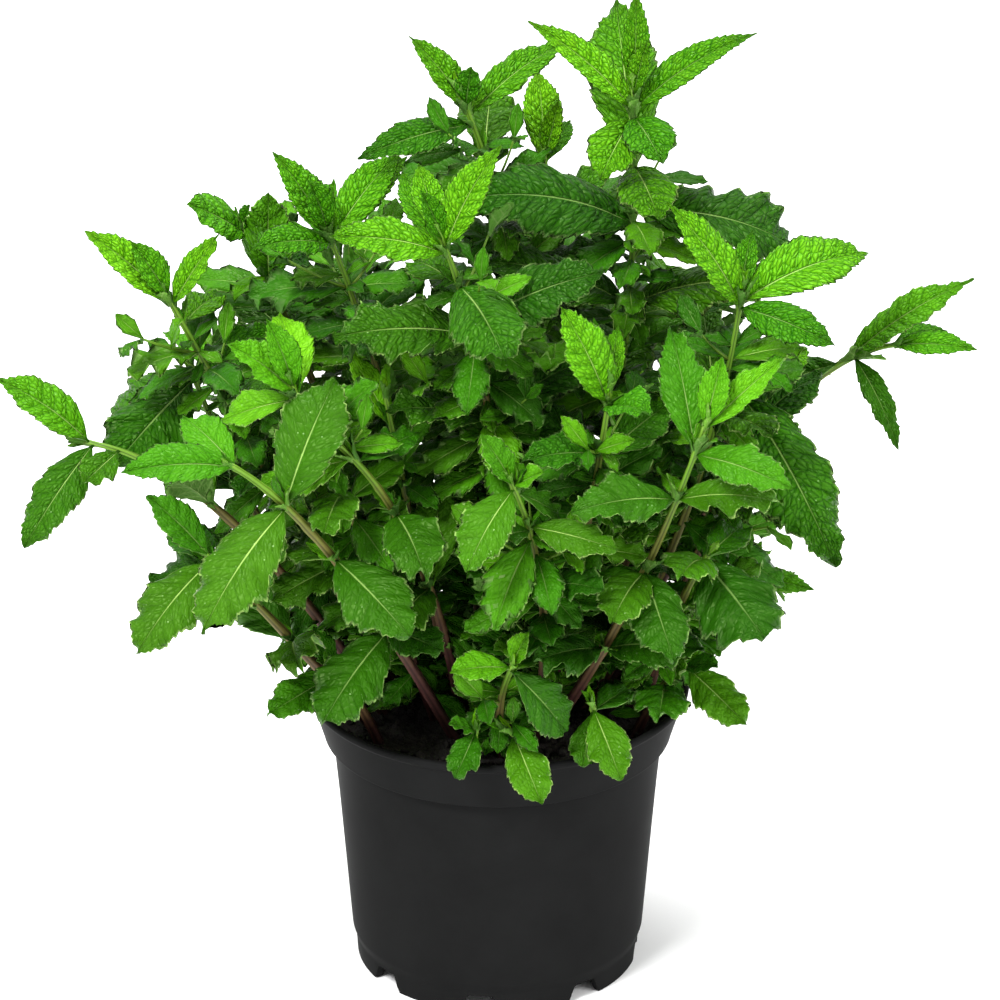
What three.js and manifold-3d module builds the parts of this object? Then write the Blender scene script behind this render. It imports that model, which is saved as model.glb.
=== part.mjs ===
// A mint plant growing in a black plastic nursery pot. Millimetres, +Z up.
// The origin is on the floor, on the pot's axis. -Y is the front.
import * as THREE from "three";
import { mergeVertices } from "three/addons/utils/BufferGeometryUtils.js";
import Module from "manifold-3d";

const wasm = await Module();
wasm.setup();

// ---------------------------------------------------------------- driving dimensions

// The pot: a 150 mm nursery pot with a flared rim band and a notched foot ring.
const RIM_RADIUS = 75;
const POT_HEIGHT = 118;
const RIM_BAND_HEIGHT = 21;
const BAND_FOOT_RADIUS = 68;
const WALL_TOP_RADIUS = 64.6;
const WALL_FOOT_RADIUS = 57;
const WALL_THICKNESS = 1.5;
const FOOT_HEIGHT = 9.5;
const FOOT_RADIUS = 55.6;
const FOOT_THICKNESS = 3.2;
const FOOT_NOTCHES = 8;
const NOTCH_WIDTH = 12.5;
const NOTCH_FIRST_ANGLE = -97;
const DRAIN_HOLE_RADIUS = 4;
const DRAIN_HOLE_RING = 43;
const POT_SIDES = 32;

// The potting soil, filling the pot to just below the rim.
const SOIL_LEVEL = 107;
const SOIL_HEAP = 2.4;
const SOIL_SIDES = 16;
const FIT_GAP = 0.4;

// The stems: square in section, tapering to the tip, rooted in plain holes in the soil.
const STEM_ROOT_RADIUS = 2.5;
const STEM_TIP_RADIUS = 1.1;
const STEM_BURIED = 14;
const STEM_HOLE_GAP = 0.5;
const STEM_STEPS = 5;

// A leaf's blade: pointed, toothed, folded up a little along its midrib and arched along its length.
const WIDEST_AT = 0.42;
const BLADE_HALF_THICKNESS = 0.7;
const BLADE_FOLD = 16;
const TOOTH_OUT = 1.1;
const NOTCH_IN = 0.9;
const TOOTH_LEAN = 0.72;
const TOOTH_PITCH = 14;
const GROWN_TEETH = 2;
const RIB_SHARES = [0.12, 0.43, 0.73];
const COARSE_RIB_SHARES = [0.14, 0.54];
const ARCH_PER_MM = 0.75;

// Leaf pairs that grow by rule: opposite each other, each pair a quarter turn from the last. Index 0 is the
// youngest.
const FIRST_PAIR_DOWN = 2;
const PAIR_SPACING = 9;
const PAIR_SPACING_GROWTH = 3.2;
const LENGTH_BY_AGE = [0.42, 0.8, 1.0, 1.04, 0.98, 0.9, 0.8];
const SPREAD_BY_AGE = [15, 38, 52, 64, 72, 80, 86];
const WIDTH_BY_AGE = [0.36, 0.38, 0.42, 0.47, 0.5, 0.52, 0.52];
const TURN_TO_LIGHT_BY_AGE = [0.1, 0.2, 0.35, 0.45, 0.5, 0.5, 0.5];

// The direction that the front of the plant is seen from, and where its leaves' upper faces turn.
const VIEW_RISE = 25;
const LIGHT = new THREE.Vector3(0, -0.55, 0.85);

// How far leaves keep from each other, from stems, from the pot and from the soil.
const SAMPLE_STEP = 4.6;
const LEAF_CLEARANCE = 4;
const OWN_CLEARANCE = 1.2;
const STEM_CLEARANCE = 5.6;
const LEAF_TO_STEM = 4.2;
const POT_CLEARANCE = 2.4;
const SEED = 20611;

// Each leafy stem: where it leaves the soil, a point it passes half way and its growing tip. pairs are the
// leaf pairs that grow by rule, from the first index up to the last, turn is the turn of pair 0 about the
// stem, and leaf is the length of a grown leaf. leaves are those that show from the front, measured there,
// each with how far below the tip it grows, how far its own tip reaches to the right and up as seen from the
// front, its length, its width to its length, and 1 where it leans towards the front or -1 where it leans
// back. A stem listed earlier keeps its leaves where they grow, and a later one bends its own clear of them.
const SHOOTS = [
  {
    name: "crown", root: [10, 6], via: [44, 8, 220], tip: [51, 8, 362],
    turn: 0, pairs: [4, 7], leaf: 62,
    leaves: [
      [29, -9, 61, 67, 0.42, -1],
      [1, 3, 38, 40, 0.28, 1],
      [3, 6, 22, 25, 0.36, 1],
      [9, -41, 31, 55, 0.28, 1],
      [9, 46, 29, 57, 0.26, 1],
      [12, -14, -24, 35, 0.6, 1],
      [12, 13, -25, 35, 0.6, 1],
      [32, 8, -22, 42, 0.56, 1],
      [38, -14, -12, 34, 0.6, -1],
      [56, -69, 9, 78, 0.42, 1],
      [50, 66, -14, 74, 0.42, -1],
    ],
  },
  {
    name: "crown_left", root: [-4, 14], via: [8, 20, 246], tip: [-14, 12, 358],
    turn: 40, pairs: [3, 6], leaf: 46,
    leaves: [
      [8, -21, 29, 38, 0.34, 1],
      [10, 37, 31, 53, 0.28, -1],
      [6, 2, 15, 18, 0.6, 1],
      [8, 6, 12, 15, 0.6, -1],
      [14, -42, -16, 50, 0.33, 1],
      [28, 3, 26, 44, 0.56, -1],
      [30, -14, 2, 36, 0.5, 1],
    ],
  },
  {
    name: "centre_left", root: [2, -8], via: [-2, -26, 233], tip: [-22, -44, 326],
    turn: 20, pairs: [4, 6], leaf: 48,
    leaves: [
      [9, 19, 39, 47, 0.36, 1],
      [6, -9, 21, 25, 0.4, 1],
      [4, -10, 28, 32, 0.4, -1],
      [12, -44, 5, 50, 0.4, 1],
      [9, -18, 29, 42, 0.38, -1],
      [27, 19, -28, 50, 0.6, 1],
      [26, -18, 9, 36, 0.5, -1],
      [50, -51, -4, 60, 0.44, 1],
      [46, 50, 18, 58, 0.44, 1],
    ],
  },
  {
    name: "right_upper", root: [34, -4], via: [72, -18, 198], tip: [92, -24, 294],
    turn: 20, pairs: [3, 6], leaf: 50,
    leaves: [
      [8, -32, 39, 55, 0.34, 1],
      [4, 3, 26, 29, 0.36, -1],
      [4, -12, 10, 20, 0.4, 1],
      [6, 50, 21, 60, 0.44, -1],
      [8, 33, -17, 45, 0.42, 1],
    ],
  },
  {
    name: "far_right", root: [44, 20], via: [102, 38, 205], tip: [153, 24, 250],
    turn: 80, pairs: [4, 5], leaf: 48,
    leaves: [
      [21, 48, 28, 60, 0.26, 1],
      [2, 33, -2, 36, 0.34, 1],
      [2, 23, 6, 28, 0.36, -1],
      [19, 18, -36, 44, 0.24, 1],
      [25, -32, -14, 42, 0.46, -1],
    ],
  },
  {
    name: "far_left", root: [-44, -8], via: [-102, -34, 203], tip: [-156, -36, 236],
    turn: 0, pairs: [3, 5], leaf: 46,
    leaves: [
      [2, -34, 26, 46, 0.4, 1],
      [4, -24, -40, 50, 0.38, 1],
      [14, -12, -13, 24, 0.6, 1],
    ],
  },
  {
    name: "left_upper", root: [-36, 4], via: [-86, -10, 208], tip: [-125, -22, 292],
    turn: 45, pairs: [3, 6], leaf: 44,
    leaves: [
      [6, -33, 25, 45, 0.38, 1],
      [4, -15, 23, 30, 0.44, 1],
      [2, -7, 18, 24, 0.4, -1],
      [7, 20, 25, 36, 0.34, 1],
      [16, 12, 12, 34, 0.44, -1],
    ],
  },
  {
    name: "left_front", root: [-16, -31], via: [-60, -70, 202], tip: [-98, -94, 253],
    turn: 0, pairs: [4, 4], leaf: 50,
    leaves: [
      [2, -41, -2, 46, 0.42, 1],
      [3, -20, 20, 34, 0.5, -1],
      [32, -32, -46, 60, 0.46, 1],
      [31, 14, 36, 52, 0.52, -1],
      [66, 27, -30, 48, 0.56, 1],
      [68, -18, 6, 36, 0.5, -1],
      [112, -25, -35, 50, 0.52, 1],
      [112, 20, -8, 36, 0.5, 1],
    ],
  },
  {
    name: "right_front", root: [18, -28], via: [50, -58, 180], tip: [77, -72, 259],
    turn: 0, pairs: [5, 5], leaf: 50,
    leaves: [
      [1, 8, 26, 29, 0.44, 1],
      [12, -9, 47, 52, 0.36, -1],
      [2, 30, 24, 41, 0.32, 1],
      [13, 35, -14, 46, 0.42, 1],
      [34, -40, -4, 48, 0.44, 1],
      [34, 40, 1, 46, 0.38, 1],
      [69, 8, -34, 46, 0.5, 1],
      [70, -14, -18, 40, 0.52, 1],
      [112, 38, 0, 46, 0.5, 1],
      [112, -24, -4, 40, 0.5, 1],
    ],
  },
  {
    name: "centre_right", root: [18, -14], via: [33, -40, 197], tip: [42, -57, 268],
    turn: 30, pairs: [3, 6], leaf: 44,
    leaves: [
      [8, -20, 37, 46, 0.44, 1],
      [3, -7, 27, 30, 0.32, 1],
      [4, 3, 27, 30, 0.32, -1],
      [10, 17, -2, 36, 0.5, 1],
      [34, 22, 16, 38, 0.5, -1],
      [32, -30, -2, 40, 0.44, 1],
    ],
  },
  {
    name: "front_centre", root: [14, -34], via: [17, -64, 183], tip: [5, -84, 242],
    turn: 45, pairs: [3, 5], leaf: 40,
    leaves: [
      [3, -12, 20, 27, 0.46, 1],
      [3, 11, 5, 17, 0.6, 1],
      [4, -20, -30, 41, 0.5, 1],
      [6, 17, -10, 30, 0.44, -1],
      [24, 32, -10, 38, 0.42, 1],
      [26, -12, -3, 22, 0.5, 1],
    ],
  },
  {
    name: "upper_left", root: [-18, 8], via: [-41, 0, 229], tip: [-65, -12, 315],
    turn: 10, pairs: [3, 6], leaf: 46,
    leaves: [
      [6, -21, 32, 41, 0.36, 1],
      [3, -7, 21, 26, 0.5, 1],
      [8, -11, 26, 36, 0.4, -1],
      [8, 20, 28, 44, 0.4, 1],
      [10, -30, -2, 42, 0.4, 1],
      [6, 29, 31, 46, 0.36, -1],
    ],
  },
  {
    name: "left_middle", root: [-24, -14], via: [-51, -44, 199], tip: [-77, -65, 274],
    turn: 30, pairs: [3, 5], leaf: 44,
    leaves: [
      [7, -25, 20, 37, 0.48, 1],
      [4, -8, 27, 32, 0.42, 1],
      [8, -5, 32, 38, 0.5, -1],
      [9, -23, -6, 37, 0.46, 1],
    ],
  },
  {
    name: "left_arch", root: [-14, -12], via: [-32, -52, 200], tip: [-63, -68, 253],
    turn: 70, pairs: [4, 6], leaf: 40,
    leaves: [
      [16, 24, 10, 34, 0.4, -1],
      [14, -26, -9, 38, 0.5, 1],
      [46, 13, -22, 42, 0.6, 1],
      [44, -12, 4, 30, 0.5, -1],
    ],
  },
  {
    name: "far_left_upper", root: [-30, 22], via: [-68, 26, 224], tip: [-98, 24, 300],
    turn: 30, pairs: [3, 6], leaf: 44,
    leaves: [
      [6, -22, 10, 36, 0.6, 1],
      [3, 3, 9, 16, 0.5, 1],
      [26, 3, 37, 44, 0.5, 1],
      [12, 24, -8, 38, 0.46, -1],
    ],
  },
  {
    name: "left_low", root: [-48, -20], via: [-82, -46, 162], tip: [-110, -58, 200],
    turn: 20, pairs: [2, 4], leaf: 44,
    leaves: [
      [2, -23, 23, 36, 0.46, 1],
      [4, -29, -34, 47, 0.5, 1],
      [6, -16, 12, 34, 0.5, -1],
    ],
  },
  {
    name: "left_round", root: [-50, 6], via: [-90, 2, 182], tip: [-117, -2, 252],
    turn: 60, pairs: [3, 5], leaf: 48,
    leaves: [
      [5, -27, -35, 48, 0.68, 1],
      [4, -32, -24, 46, 0.7, -1],
      [8, 22, 16, 40, 0.5, 1],
    ],
  },
  {
    name: "right_big", root: [52, -2], via: [82, -6, 191], tip: [94, -4, 249],
    turn: 40, pairs: [2, 4], leaf: 54,
    leaves: [
      [8, 32, -66, 82, 0.38, 1],
      [3, 26, 13, 36, 0.5, -1],
      [12, -30, 12, 44, 0.46, -1],
    ],
  },
  {
    name: "upright_sprig", root: [8, 24], via: [17, 36, 212], tip: [18, 36, 324],
    turn: 10, pairs: [2, 5], leaf: 42,
    leaves: [
      [5, -1, 38, 41, 0.4, -1],
      [2, 7, 22, 26, 0.36, 1],
      [4, 10, 18, 28, 0.36, -1],
    ],
  },
  {
    name: "front_low", root: [2, -44], via: [1, -60, 136], tip: [6, -80, 164],
    turn: 0, pairs: [3, 3], leaf: 36,
    leaves: [
      [3, -24, 0, 29, 0.5, 1],
      [2, 6, 14, 20, 0.5, 1],
      [5, 18, -20, 38, 0.62, 1],
      [6, 14, 8, 24, 0.5, -1],
    ],
  },
  {
    name: "rim_front", root: [14, -54], via: [10, -67, 124], tip: [5, -72, 132],
    turn: 0, pairs: [2, 2], leaf: 30,
    leaves: [
      [1, 10, -27, 33, 0.52, 1],
      [3, 12, 7, 20, 0.5, -1],
    ],
  },
  {
    name: "rim_front_left", root: [-10, -52], via: [-9, -64, 123], tip: [-8, -70, 132],
    turn: 0, pairs: [2, 2], leaf: 30,
    leaves: [
      [1, -7, -18, 24, 0.56, 1],
      [2, -10, 3, 18, 0.5, 1],
    ],
  },
  {
    name: "rim_front_right", root: [36, -42], via: [37, -54, 126], tip: [36, -60, 137],
    turn: 0, pairs: [2, 2], leaf: 30,
    leaves: [
      [2, 10, -27, 33, 0.52, 1],
      [3, -3, -17, 23, 0.6, 1],
      [4, 14, 8, 26, 0.5, -1],
    ],
  },
  {
    name: "rim_right", root: [54, -24], via: [64, -30, 130], tip: [74, -36, 142],
    turn: 0, pairs: [2, 2], leaf: 34,
    leaves: [
      [2, 21, -23, 36, 0.52, 1],
      [4, 14, 2, 22, 0.5, 1],
      [16, -4, -20, 32, 0.72, 1],
      [14, 8, 12, 26, 0.6, -1],
    ],
  },
  {
    name: "rim_left", root: [-46, -32], via: [-55, -40, 131], tip: [-63, -47, 146],
    turn: 0, pairs: [2, 2], leaf: 34,
    leaves: [
      [4, -25, -17, 35, 0.5, 1],
      [6, 14, -10, 28, 0.56, 1],
      [3, -8, 14, 20, 0.5, -1],
    ],
  },
  {
    name: "right_low", root: [56, -10], via: [68, -34, 162], tip: [80, -46, 194],
    turn: 60, pairs: [2, 4], leaf: 44,
    leaves: [
      [4, 20, -30, 46, 0.74, 1],
      [4, -20, -10, 38, 0.6, 1],
      [3, 16, 12, 32, 0.5, -1],
    ],
  },
  {
    name: "right_trailing", root: [54, 22], via: [80, 40, 139], tip: [110, 50, 135],
    turn: 60, pairs: [3, 3], leaf: 28,
    leaves: [
      [18, 30, -8, 34, 0.34, 1],
      [20, 14, 12, 22, 0.36, -1],
      [8, 10, 0, 18, 0.4, 1],
      [8, -10, -2, 18, 0.4, -1],
      [1, -14, 8, 20, 0.4, 1],
      [0, 8, 5, 12, 0.4, 1],
    ],
  },
  {
    name: "back_right", root: [30, 20], via: [62, 44, 196], tip: [82, 56, 278],
    turn: 15, pairs: [0, 5], leaf: 46,
  },
  {
    name: "back_left", root: [-22, 34], via: [-48, 58, 196], tip: [-64, 74, 282],
    turn: 50, pairs: [0, 5], leaf: 46,
  },
  {
    name: "back_centre", root: [4, 42], via: [8, 72, 196], tip: [12, 90, 274],
    turn: 20, pairs: [0, 5], leaf: 46,
  },
  {
    name: "back_far_left", root: [-42, 30], via: [-82, 56, 174], tip: [-112, 72, 228],
    turn: 40, pairs: [0, 4], leaf: 44,
  },
  {
    name: "back_far_right", root: [46, 26], via: [80, 54, 172], tip: [104, 72, 216],
    turn: 75, pairs: [0, 4], leaf: 44,
  },
  {
    name: "back_low_left", root: [-30, 48], via: [-48, 76, 156], tip: [-58, 100, 192],
    turn: 25, pairs: [0, 3], leaf: 42,
  },
  {
    name: "back_low_right", root: [26, 46], via: [44, 76, 156], tip: [54, 102, 196],
    turn: 60, pairs: [0, 3], leaf: 42,
  },
  {
    name: "inner_left", root: [-14, -4], via: [-30, -20, 182], tip: [-42, -30, 252],
    turn: 45, pairs: [0, 5], leaf: 42,
  },
  {
    name: "inner_right", root: [30, 6], via: [52, -8, 182], tip: [60, -26, 242],
    turn: 55, pairs: [0, 5], leaf: 42,
  },
  {
    name: "inner_centre", root: [-6, 4], via: [-10, 6, 186], tip: [-16, -2, 258],
    turn: 10, pairs: [1, 6], leaf: 44,
  },
];

// ---------------------------------------------------------------- solids

const radians = THREE.MathUtils.degToRad;

// A closed mesh as a manifold-3d solid.
function solidOf(geometry) {
  const positions = new THREE.BufferGeometry();
  positions.setAttribute("position", geometry.getAttribute("position"));
  positions.setIndex(geometry.getIndex());
  const merged = mergeVertices(positions, 1e-4);
  return new wasm.Manifold(
    new wasm.Mesh({
      numProp: 3,
      vertProperties: new Float32Array(merged.attributes.position.array),
      triVerts: new Uint32Array(merged.index.array),
    }),
  );
}

// A manifold-3d solid as geometry with flat-shaded faces.
function geometryOf(solid) {
  const mesh = solid.getMesh();
  const positions = new Float32Array(mesh.numVert * 3);
  for (let i = 0; i < mesh.numVert; i++) {
    const from = i * mesh.numProp;
    positions.set(mesh.vertProperties.subarray(from, from + 3), i * 3);
  }
  const geometry = new THREE.BufferGeometry();
  geometry.setAttribute("position", new THREE.BufferAttribute(positions, 3));
  geometry.setIndex(new THREE.BufferAttribute(new Uint32Array(mesh.triVerts), 1));
  const flat = geometry.toNonIndexed();
  flat.computeVertexNormals();
  return flat;
}

// A closed geometry from a list of points and triangles that index it.
function closedGeometry(points, triangles) {
  const geometry = new THREE.BufferGeometry().setFromPoints(points);
  geometry.setIndex(triangles.flat());
  return geometry;
}

// The same numbers on every run, from 0 up to 1.
function seededRandom(seed) {
  let state = seed;
  return () => {
    state = (Math.imul(state, 1664525) + 1013904223) >>> 0;
    return state / 4294967296;
  };
}

// ---------------------------------------------------------------- pot

const BASE_UNDERSIDE = FOOT_HEIGHT + 1;
const BASE_TOP = BASE_UNDERSIDE + 1.6;
const BAND_FOOT = POT_HEIGHT - RIM_BAND_HEIGHT;

// Radius of the pot's inside wall at a height between its base and the foot of the rim band.
function innerWallRadius(z) {
  const share = (z - FOOT_HEIGHT) / (BAND_FOOT - FOOT_HEIGHT);
  return THREE.MathUtils.lerp(WALL_FOOT_RADIUS, WALL_TOP_RADIUS, share) - WALL_THICKNESS;
}

function potShell() {
  const lipDrop = 1.2;
  const profile = [
    [0, BASE_UNDERSIDE],
    [FOOT_RADIUS - FOOT_THICKNESS - 1, BASE_UNDERSIDE],
    [FOOT_RADIUS - FOOT_THICKNESS, 0],
    [FOOT_RADIUS, 0],
    [FOOT_RADIUS + 0.5, FOOT_HEIGHT - 1],
    [WALL_FOOT_RADIUS, FOOT_HEIGHT],
    [WALL_TOP_RADIUS, BAND_FOOT],
    [BAND_FOOT_RADIUS, BAND_FOOT],
    [RIM_RADIUS - 1.6, POT_HEIGHT - 3.2],
    [RIM_RADIUS, POT_HEIGHT - lipDrop],
    [RIM_RADIUS - 0.6, POT_HEIGHT],
    [RIM_RADIUS - 2.4, POT_HEIGHT],
    [BAND_FOOT_RADIUS - WALL_THICKNESS, BAND_FOOT + 1.6],
    [innerWallRadius(BAND_FOOT), BAND_FOOT - 1.5],
    [innerWallRadius(BASE_TOP), BASE_TOP],
    [0, BASE_TOP],
  ].map(([r, z]) => new THREE.Vector2(r, z));
  return new THREE.LatheGeometry(profile, POT_SIDES).rotateX(Math.PI / 2);
}

// A wedge-sided notch across the foot ring, wider at the floor.
function footNotch(angle) {
  const outline = new THREE.Shape();
  const half = NOTCH_WIDTH / 2;
  const taper = 1.5;
  outline.moveTo(-half - taper, -1);
  outline.lineTo(half + taper, -1);
  outline.lineTo(half - taper, FOOT_HEIGHT - 2);
  outline.lineTo(-half + taper, FOOT_HEIGHT - 2);
  const reach = FOOT_THICKNESS + 6;
  const cut = new THREE.ExtrudeGeometry(outline, { depth: reach, bevelEnabled: false });
  cut.rotateX(Math.PI / 2);
  cut.translate(0, FOOT_RADIUS + 3, 0);
  cut.rotateZ(radians(angle - 90));
  return cut;
}

function drainHole(angle) {
  const cut = new THREE.CylinderGeometry(DRAIN_HOLE_RADIUS, DRAIN_HOLE_RADIUS, 8, 6);
  cut.rotateX(Math.PI / 2);
  cut.translate(DRAIN_HOLE_RING, 0, BASE_UNDERSIDE + 1);
  cut.rotateZ(radians(angle));
  return cut;
}

function makePot() {
  let pot = solidOf(potShell());
  for (let i = 0; i < FOOT_NOTCHES; i++) {
    const angle = NOTCH_FIRST_ANGLE + (i * 360) / FOOT_NOTCHES;
    pot = pot.subtract(solidOf(footNotch(angle)));
    pot = pot.subtract(solidOf(drainHole(angle)));
  }
  return pot;
}

// ---------------------------------------------------------------- stems

// A stem's centreline: a smooth curve from its root in the soil, past its half-way point, to its growing tip.
function stemCurve(shoot, bend) {
  const root = new THREE.Vector3(shoot.root[0], shoot.root[1], SOIL_LEVEL);
  const via = new THREE.Vector3(...shoot.via).add(bend);
  const tip = new THREE.Vector3(...shoot.tip);
  const control = via.clone().multiplyScalar(2).addScaledVector(root, -0.5).addScaledVector(tip, -0.5);
  return new THREE.QuadraticBezierCurve3(root, control, tip);
}

// Where the stem's buried end starts, straight below its root.
function buriedEnd(curve, depth) {
  const into = curve.getTangent(0);
  const centre = curve.getPoint(0).addScaledVector(into, -depth / into.z);
  return { centre, along: into, radius: STEM_ROOT_RADIUS };
}

// Points down the stem's middle, evenly spaced in the curve's own parameter, with the buried end first.
function stemStations(curve) {
  const stations = [buriedEnd(curve, STEM_BURIED)];
  for (let i = 0; i <= STEM_STEPS; i++) {
    const share = i / STEM_STEPS;
    const radius = THREE.MathUtils.lerp(STEM_ROOT_RADIUS, STEM_TIP_RADIUS, share);
    stations.push({ centre: curve.getPoint(share), along: curve.getTangent(share), radius });
  }
  return stations;
}

// The directions across a stem: one nearest to +X, and one square to it and to the stem.
function acrossStem(along) {
  const side = new THREE.Vector3(1, 0, 0).addScaledVector(along, -along.x).normalize();
  return { side, back: new THREE.Vector3().crossVectors(along, side) };
}

// A square tube through the stations, grown by a gap.
function squareTube(stations, gap) {
  const corners = 4;
  const points = [];
  for (const { centre, along, radius } of stations) {
    const { side, back } = acrossStem(along);
    for (let c = 0; c < corners; c++) {
      const angle = radians(45 + 90 * c);
      const out = side.clone().multiplyScalar(Math.cos(angle)).addScaledVector(back, Math.sin(angle));
      points.push(centre.clone().addScaledVector(out, radius + gap));
    }
  }
  const triangles = [
    [0, 2, 1],
    [0, 3, 2],
  ];
  for (let i = 0; i + 1 < stations.length; i++) {
    for (let c = 0; c < corners; c++) {
      const [a, b] = [i * corners + c, i * corners + ((c + 1) % corners)];
      triangles.push([a, b, b + corners], [a, b + corners, a + corners]);
    }
  }
  const last = (stations.length - 1) * corners;
  triangles.push([last, last + 1, last + 2], [last, last + 2, last + 3]);
  return closedGeometry(points, triangles);
}

// ---------------------------------------------------------------- leaves

// Half the blade's width at a share of its length, as a share of its greatest half width.
function bladeProfile(share) {
  return (share / WIDEST_AT) ** 0.6 * ((1 - share) / (1 - WIDEST_AT)) ** 0.83;
}

// A point of the blade. The midrib is an arc that bends away from the upper face, and both halves fold up
// from it.
function bladePoint(leaf, share, side, lift) {
  const turned = leaf.arch * share;
  const reach = (leaf.length * Math.sin(turned)) / leaf.arch;
  const drop = (leaf.length * (1 - Math.cos(turned))) / leaf.arch;
  const up = leaf.normal.clone().multiplyScalar(Math.cos(turned));
  up.addScaledVector(leaf.along, Math.sin(turned));
  const fold = radians(BLADE_FOLD);
  return leaf.base
    .clone()
    .addScaledVector(leaf.along, reach)
    .addScaledVector(leaf.normal, -drop)
    .addScaledVector(leaf.across, side * Math.cos(fold))
    .addScaledVector(up, Math.abs(side) * Math.sin(fold) + lift);
}

// A toothed blade, thickest at its midrib and sharp at its edge, whose two faces have the same triangles.
function bladeGeometry(leaf) {
  const half = (leaf.length * leaf.width) / 2;
  const ribShares = leaf.teeth > 2 ? RIB_SHARES : COARSE_RIB_SHARES;
  const points = [];
  const add = (share, side, lift) => ({ share, point: points.push(bladePoint(leaf, share, side, lift)) - 1 });
  const base = add(0, 0, 0);
  const apex = add(1, 0, 0);
  const ribAlong = (lift) => {
    return [base, ...ribShares.map((share) => add(share, 0, lift * (1 - 0.35 * share))), apex];
  };
  const edgeAlong = (side) => {
    const edge = [base];
    for (let i = 0; i < leaf.teeth; i++) {
      const notch = i / leaf.teeth;
      const tooth = (i + TOOTH_LEAN) / leaf.teeth;
      if (i) edge.push(add(notch, side * half * NOTCH_IN * bladeProfile(notch), 0));
      edge.push(add(tooth, side * half * TOOTH_OUT * bladeProfile(tooth), 0));
    }
    return [...edge, apex];
  };
  const triangles = [];
  const sew = (rib, edge, flip) => {
    let [i, j] = [1, 1];
    const face = [[base, edge[1], rib[1]]];
    while (i < rib.length - 2 || j < edge.length - 2) {
      const ribIsNext = i < rib.length - 2 && rib[i + 1].share <= edge[j + 1].share;
      const alongRib = j === edge.length - 2 || ribIsNext;
      face.push([rib[i], edge[j], alongRib ? rib[i + 1] : edge[j + 1]]);
      if (alongRib) i++;
      else j++;
    }
    face.push([rib[i], edge[j], apex]);
    for (const corners of face) {
      const [a, b, c] = corners.map((corner) => corner.point);
      triangles.push(flip ? [a, c, b] : [a, b, c]);
    }
  };
  const [upper, under] = [ribAlong(BLADE_HALF_THICKNESS), ribAlong(-BLADE_HALF_THICKNESS)];
  const [left, right] = [edgeAlong(-1), edgeAlong(1)];
  sew(upper, right, false);
  sew(upper, left, true);
  sew(under, right, true);
  sew(under, left, false);
  return closedGeometry(points, triangles);
}

// Points spread over a blade, which stand for it where clearances are measured.
function bladeSamples(leaf) {
  const half = (leaf.length * leaf.width) / 2;
  const rows = Math.max(3, Math.ceil((0.8 * leaf.length) / SAMPLE_STEP));
  const columns = Math.max(1, Math.ceil(half / SAMPLE_STEP));
  const samples = [];
  for (let i = 0; i <= rows; i++) {
    const share = 0.2 + (0.8 * i) / rows;
    const out = half * bladeProfile(Math.min(share, 0.995));
    for (let j = -columns; j <= columns; j++) samples.push(bladePoint(leaf, share, (out * j) / columns, 0));
  }
  return samples;
}

// A leaf whose chord and facing are given: it leaves the stem steeper than its chord and arches over. teeth
// are the teeth of each edge.
function archedLeaf(base, chord, facing, length, width, teeth) {
  const arch = radians(6 + ARCH_PER_MM * length);
  const normal = facing.clone().addScaledVector(chord, -facing.dot(chord)).normalize();
  const along = chord.clone().multiplyScalar(Math.cos(arch / 2)).addScaledVector(normal, Math.sin(arch / 2));
  const upper = normal.multiplyScalar(Math.cos(arch / 2)).addScaledVector(chord, -Math.sin(arch / 2));
  const across = new THREE.Vector3().crossVectors(along, upper);
  return { base, along, normal: upper, across, length, width, arch, teeth };
}

// One leaf of a pair as it would grow if nothing were in its way, then bent by a nudge.
function grownLeaf({ shoot, curve, length: stemLength }, age, turn, draw, nudge) {
  const down = FIRST_PAIR_DOWN + PAIR_SPACING * age + PAIR_SPACING_GROWTH * age * age;
  const share = 1 - down / stemLength;
  const stem = curve.getTangentAt(share);
  const { side, back } = acrossStem(stem);
  const around = radians(turn + 14 * (draw[0] - 0.5) + nudge.turn);
  const out = side.multiplyScalar(Math.cos(around)).addScaledVector(back, Math.sin(around));
  const spread = radians(SPREAD_BY_AGE[age] * (0.9 + 0.2 * draw[1]) + nudge.spread);
  const chord = stem.clone().multiplyScalar(Math.cos(spread)).addScaledVector(out, Math.sin(spread));
  const facing = stem.clone().multiplyScalar(Math.sin(spread)).addScaledVector(out, -Math.cos(spread));
  const light = TURN_TO_LIGHT_BY_AGE[age];
  facing.multiplyScalar(1 - light).addScaledVector(LIGHT, light);
  const length = shoot.leaf * LENGTH_BY_AGE[age] * (0.92 + 0.16 * draw[2]) * nudge.size;
  return archedLeaf(curve.getPointAt(share), chord, facing, length, WIDTH_BY_AGE[age], GROWN_TEETH);
}

// One of the leaves that show from the front, with its lean towards or away from there bent by a nudge.
function measuredLeaf({ curve, length: stemLength }, [down, right, up, length, width, lean], nudge) {
  const size = length * nudge.size;
  const arch = radians(6 + ARCH_PER_MM * size);
  const chordLength = (size * Math.sin(arch / 2)) / (arch / 2);
  const hidden = chordLength ** 2 - right ** 2 - up ** 2;
  const toward = lean * Math.sqrt(Math.max(hidden, 0)) + nudge.depth;
  const rise = radians(VIEW_RISE);
  const chord = new THREE.Vector3(
    right,
    up * Math.sin(rise) - toward * Math.cos(rise),
    up * Math.cos(rise) + toward * Math.sin(rise),
  ).normalize();
  const teeth = THREE.MathUtils.clamp(Math.round(size / TOOTH_PITCH), GROWN_TEETH, 4);
  return archedLeaf(curve.getPointAt(1 - down / stemLength), chord, LIGHT, size, width, teeth);
}

// ---------------------------------------------------------------- clearances

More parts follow.
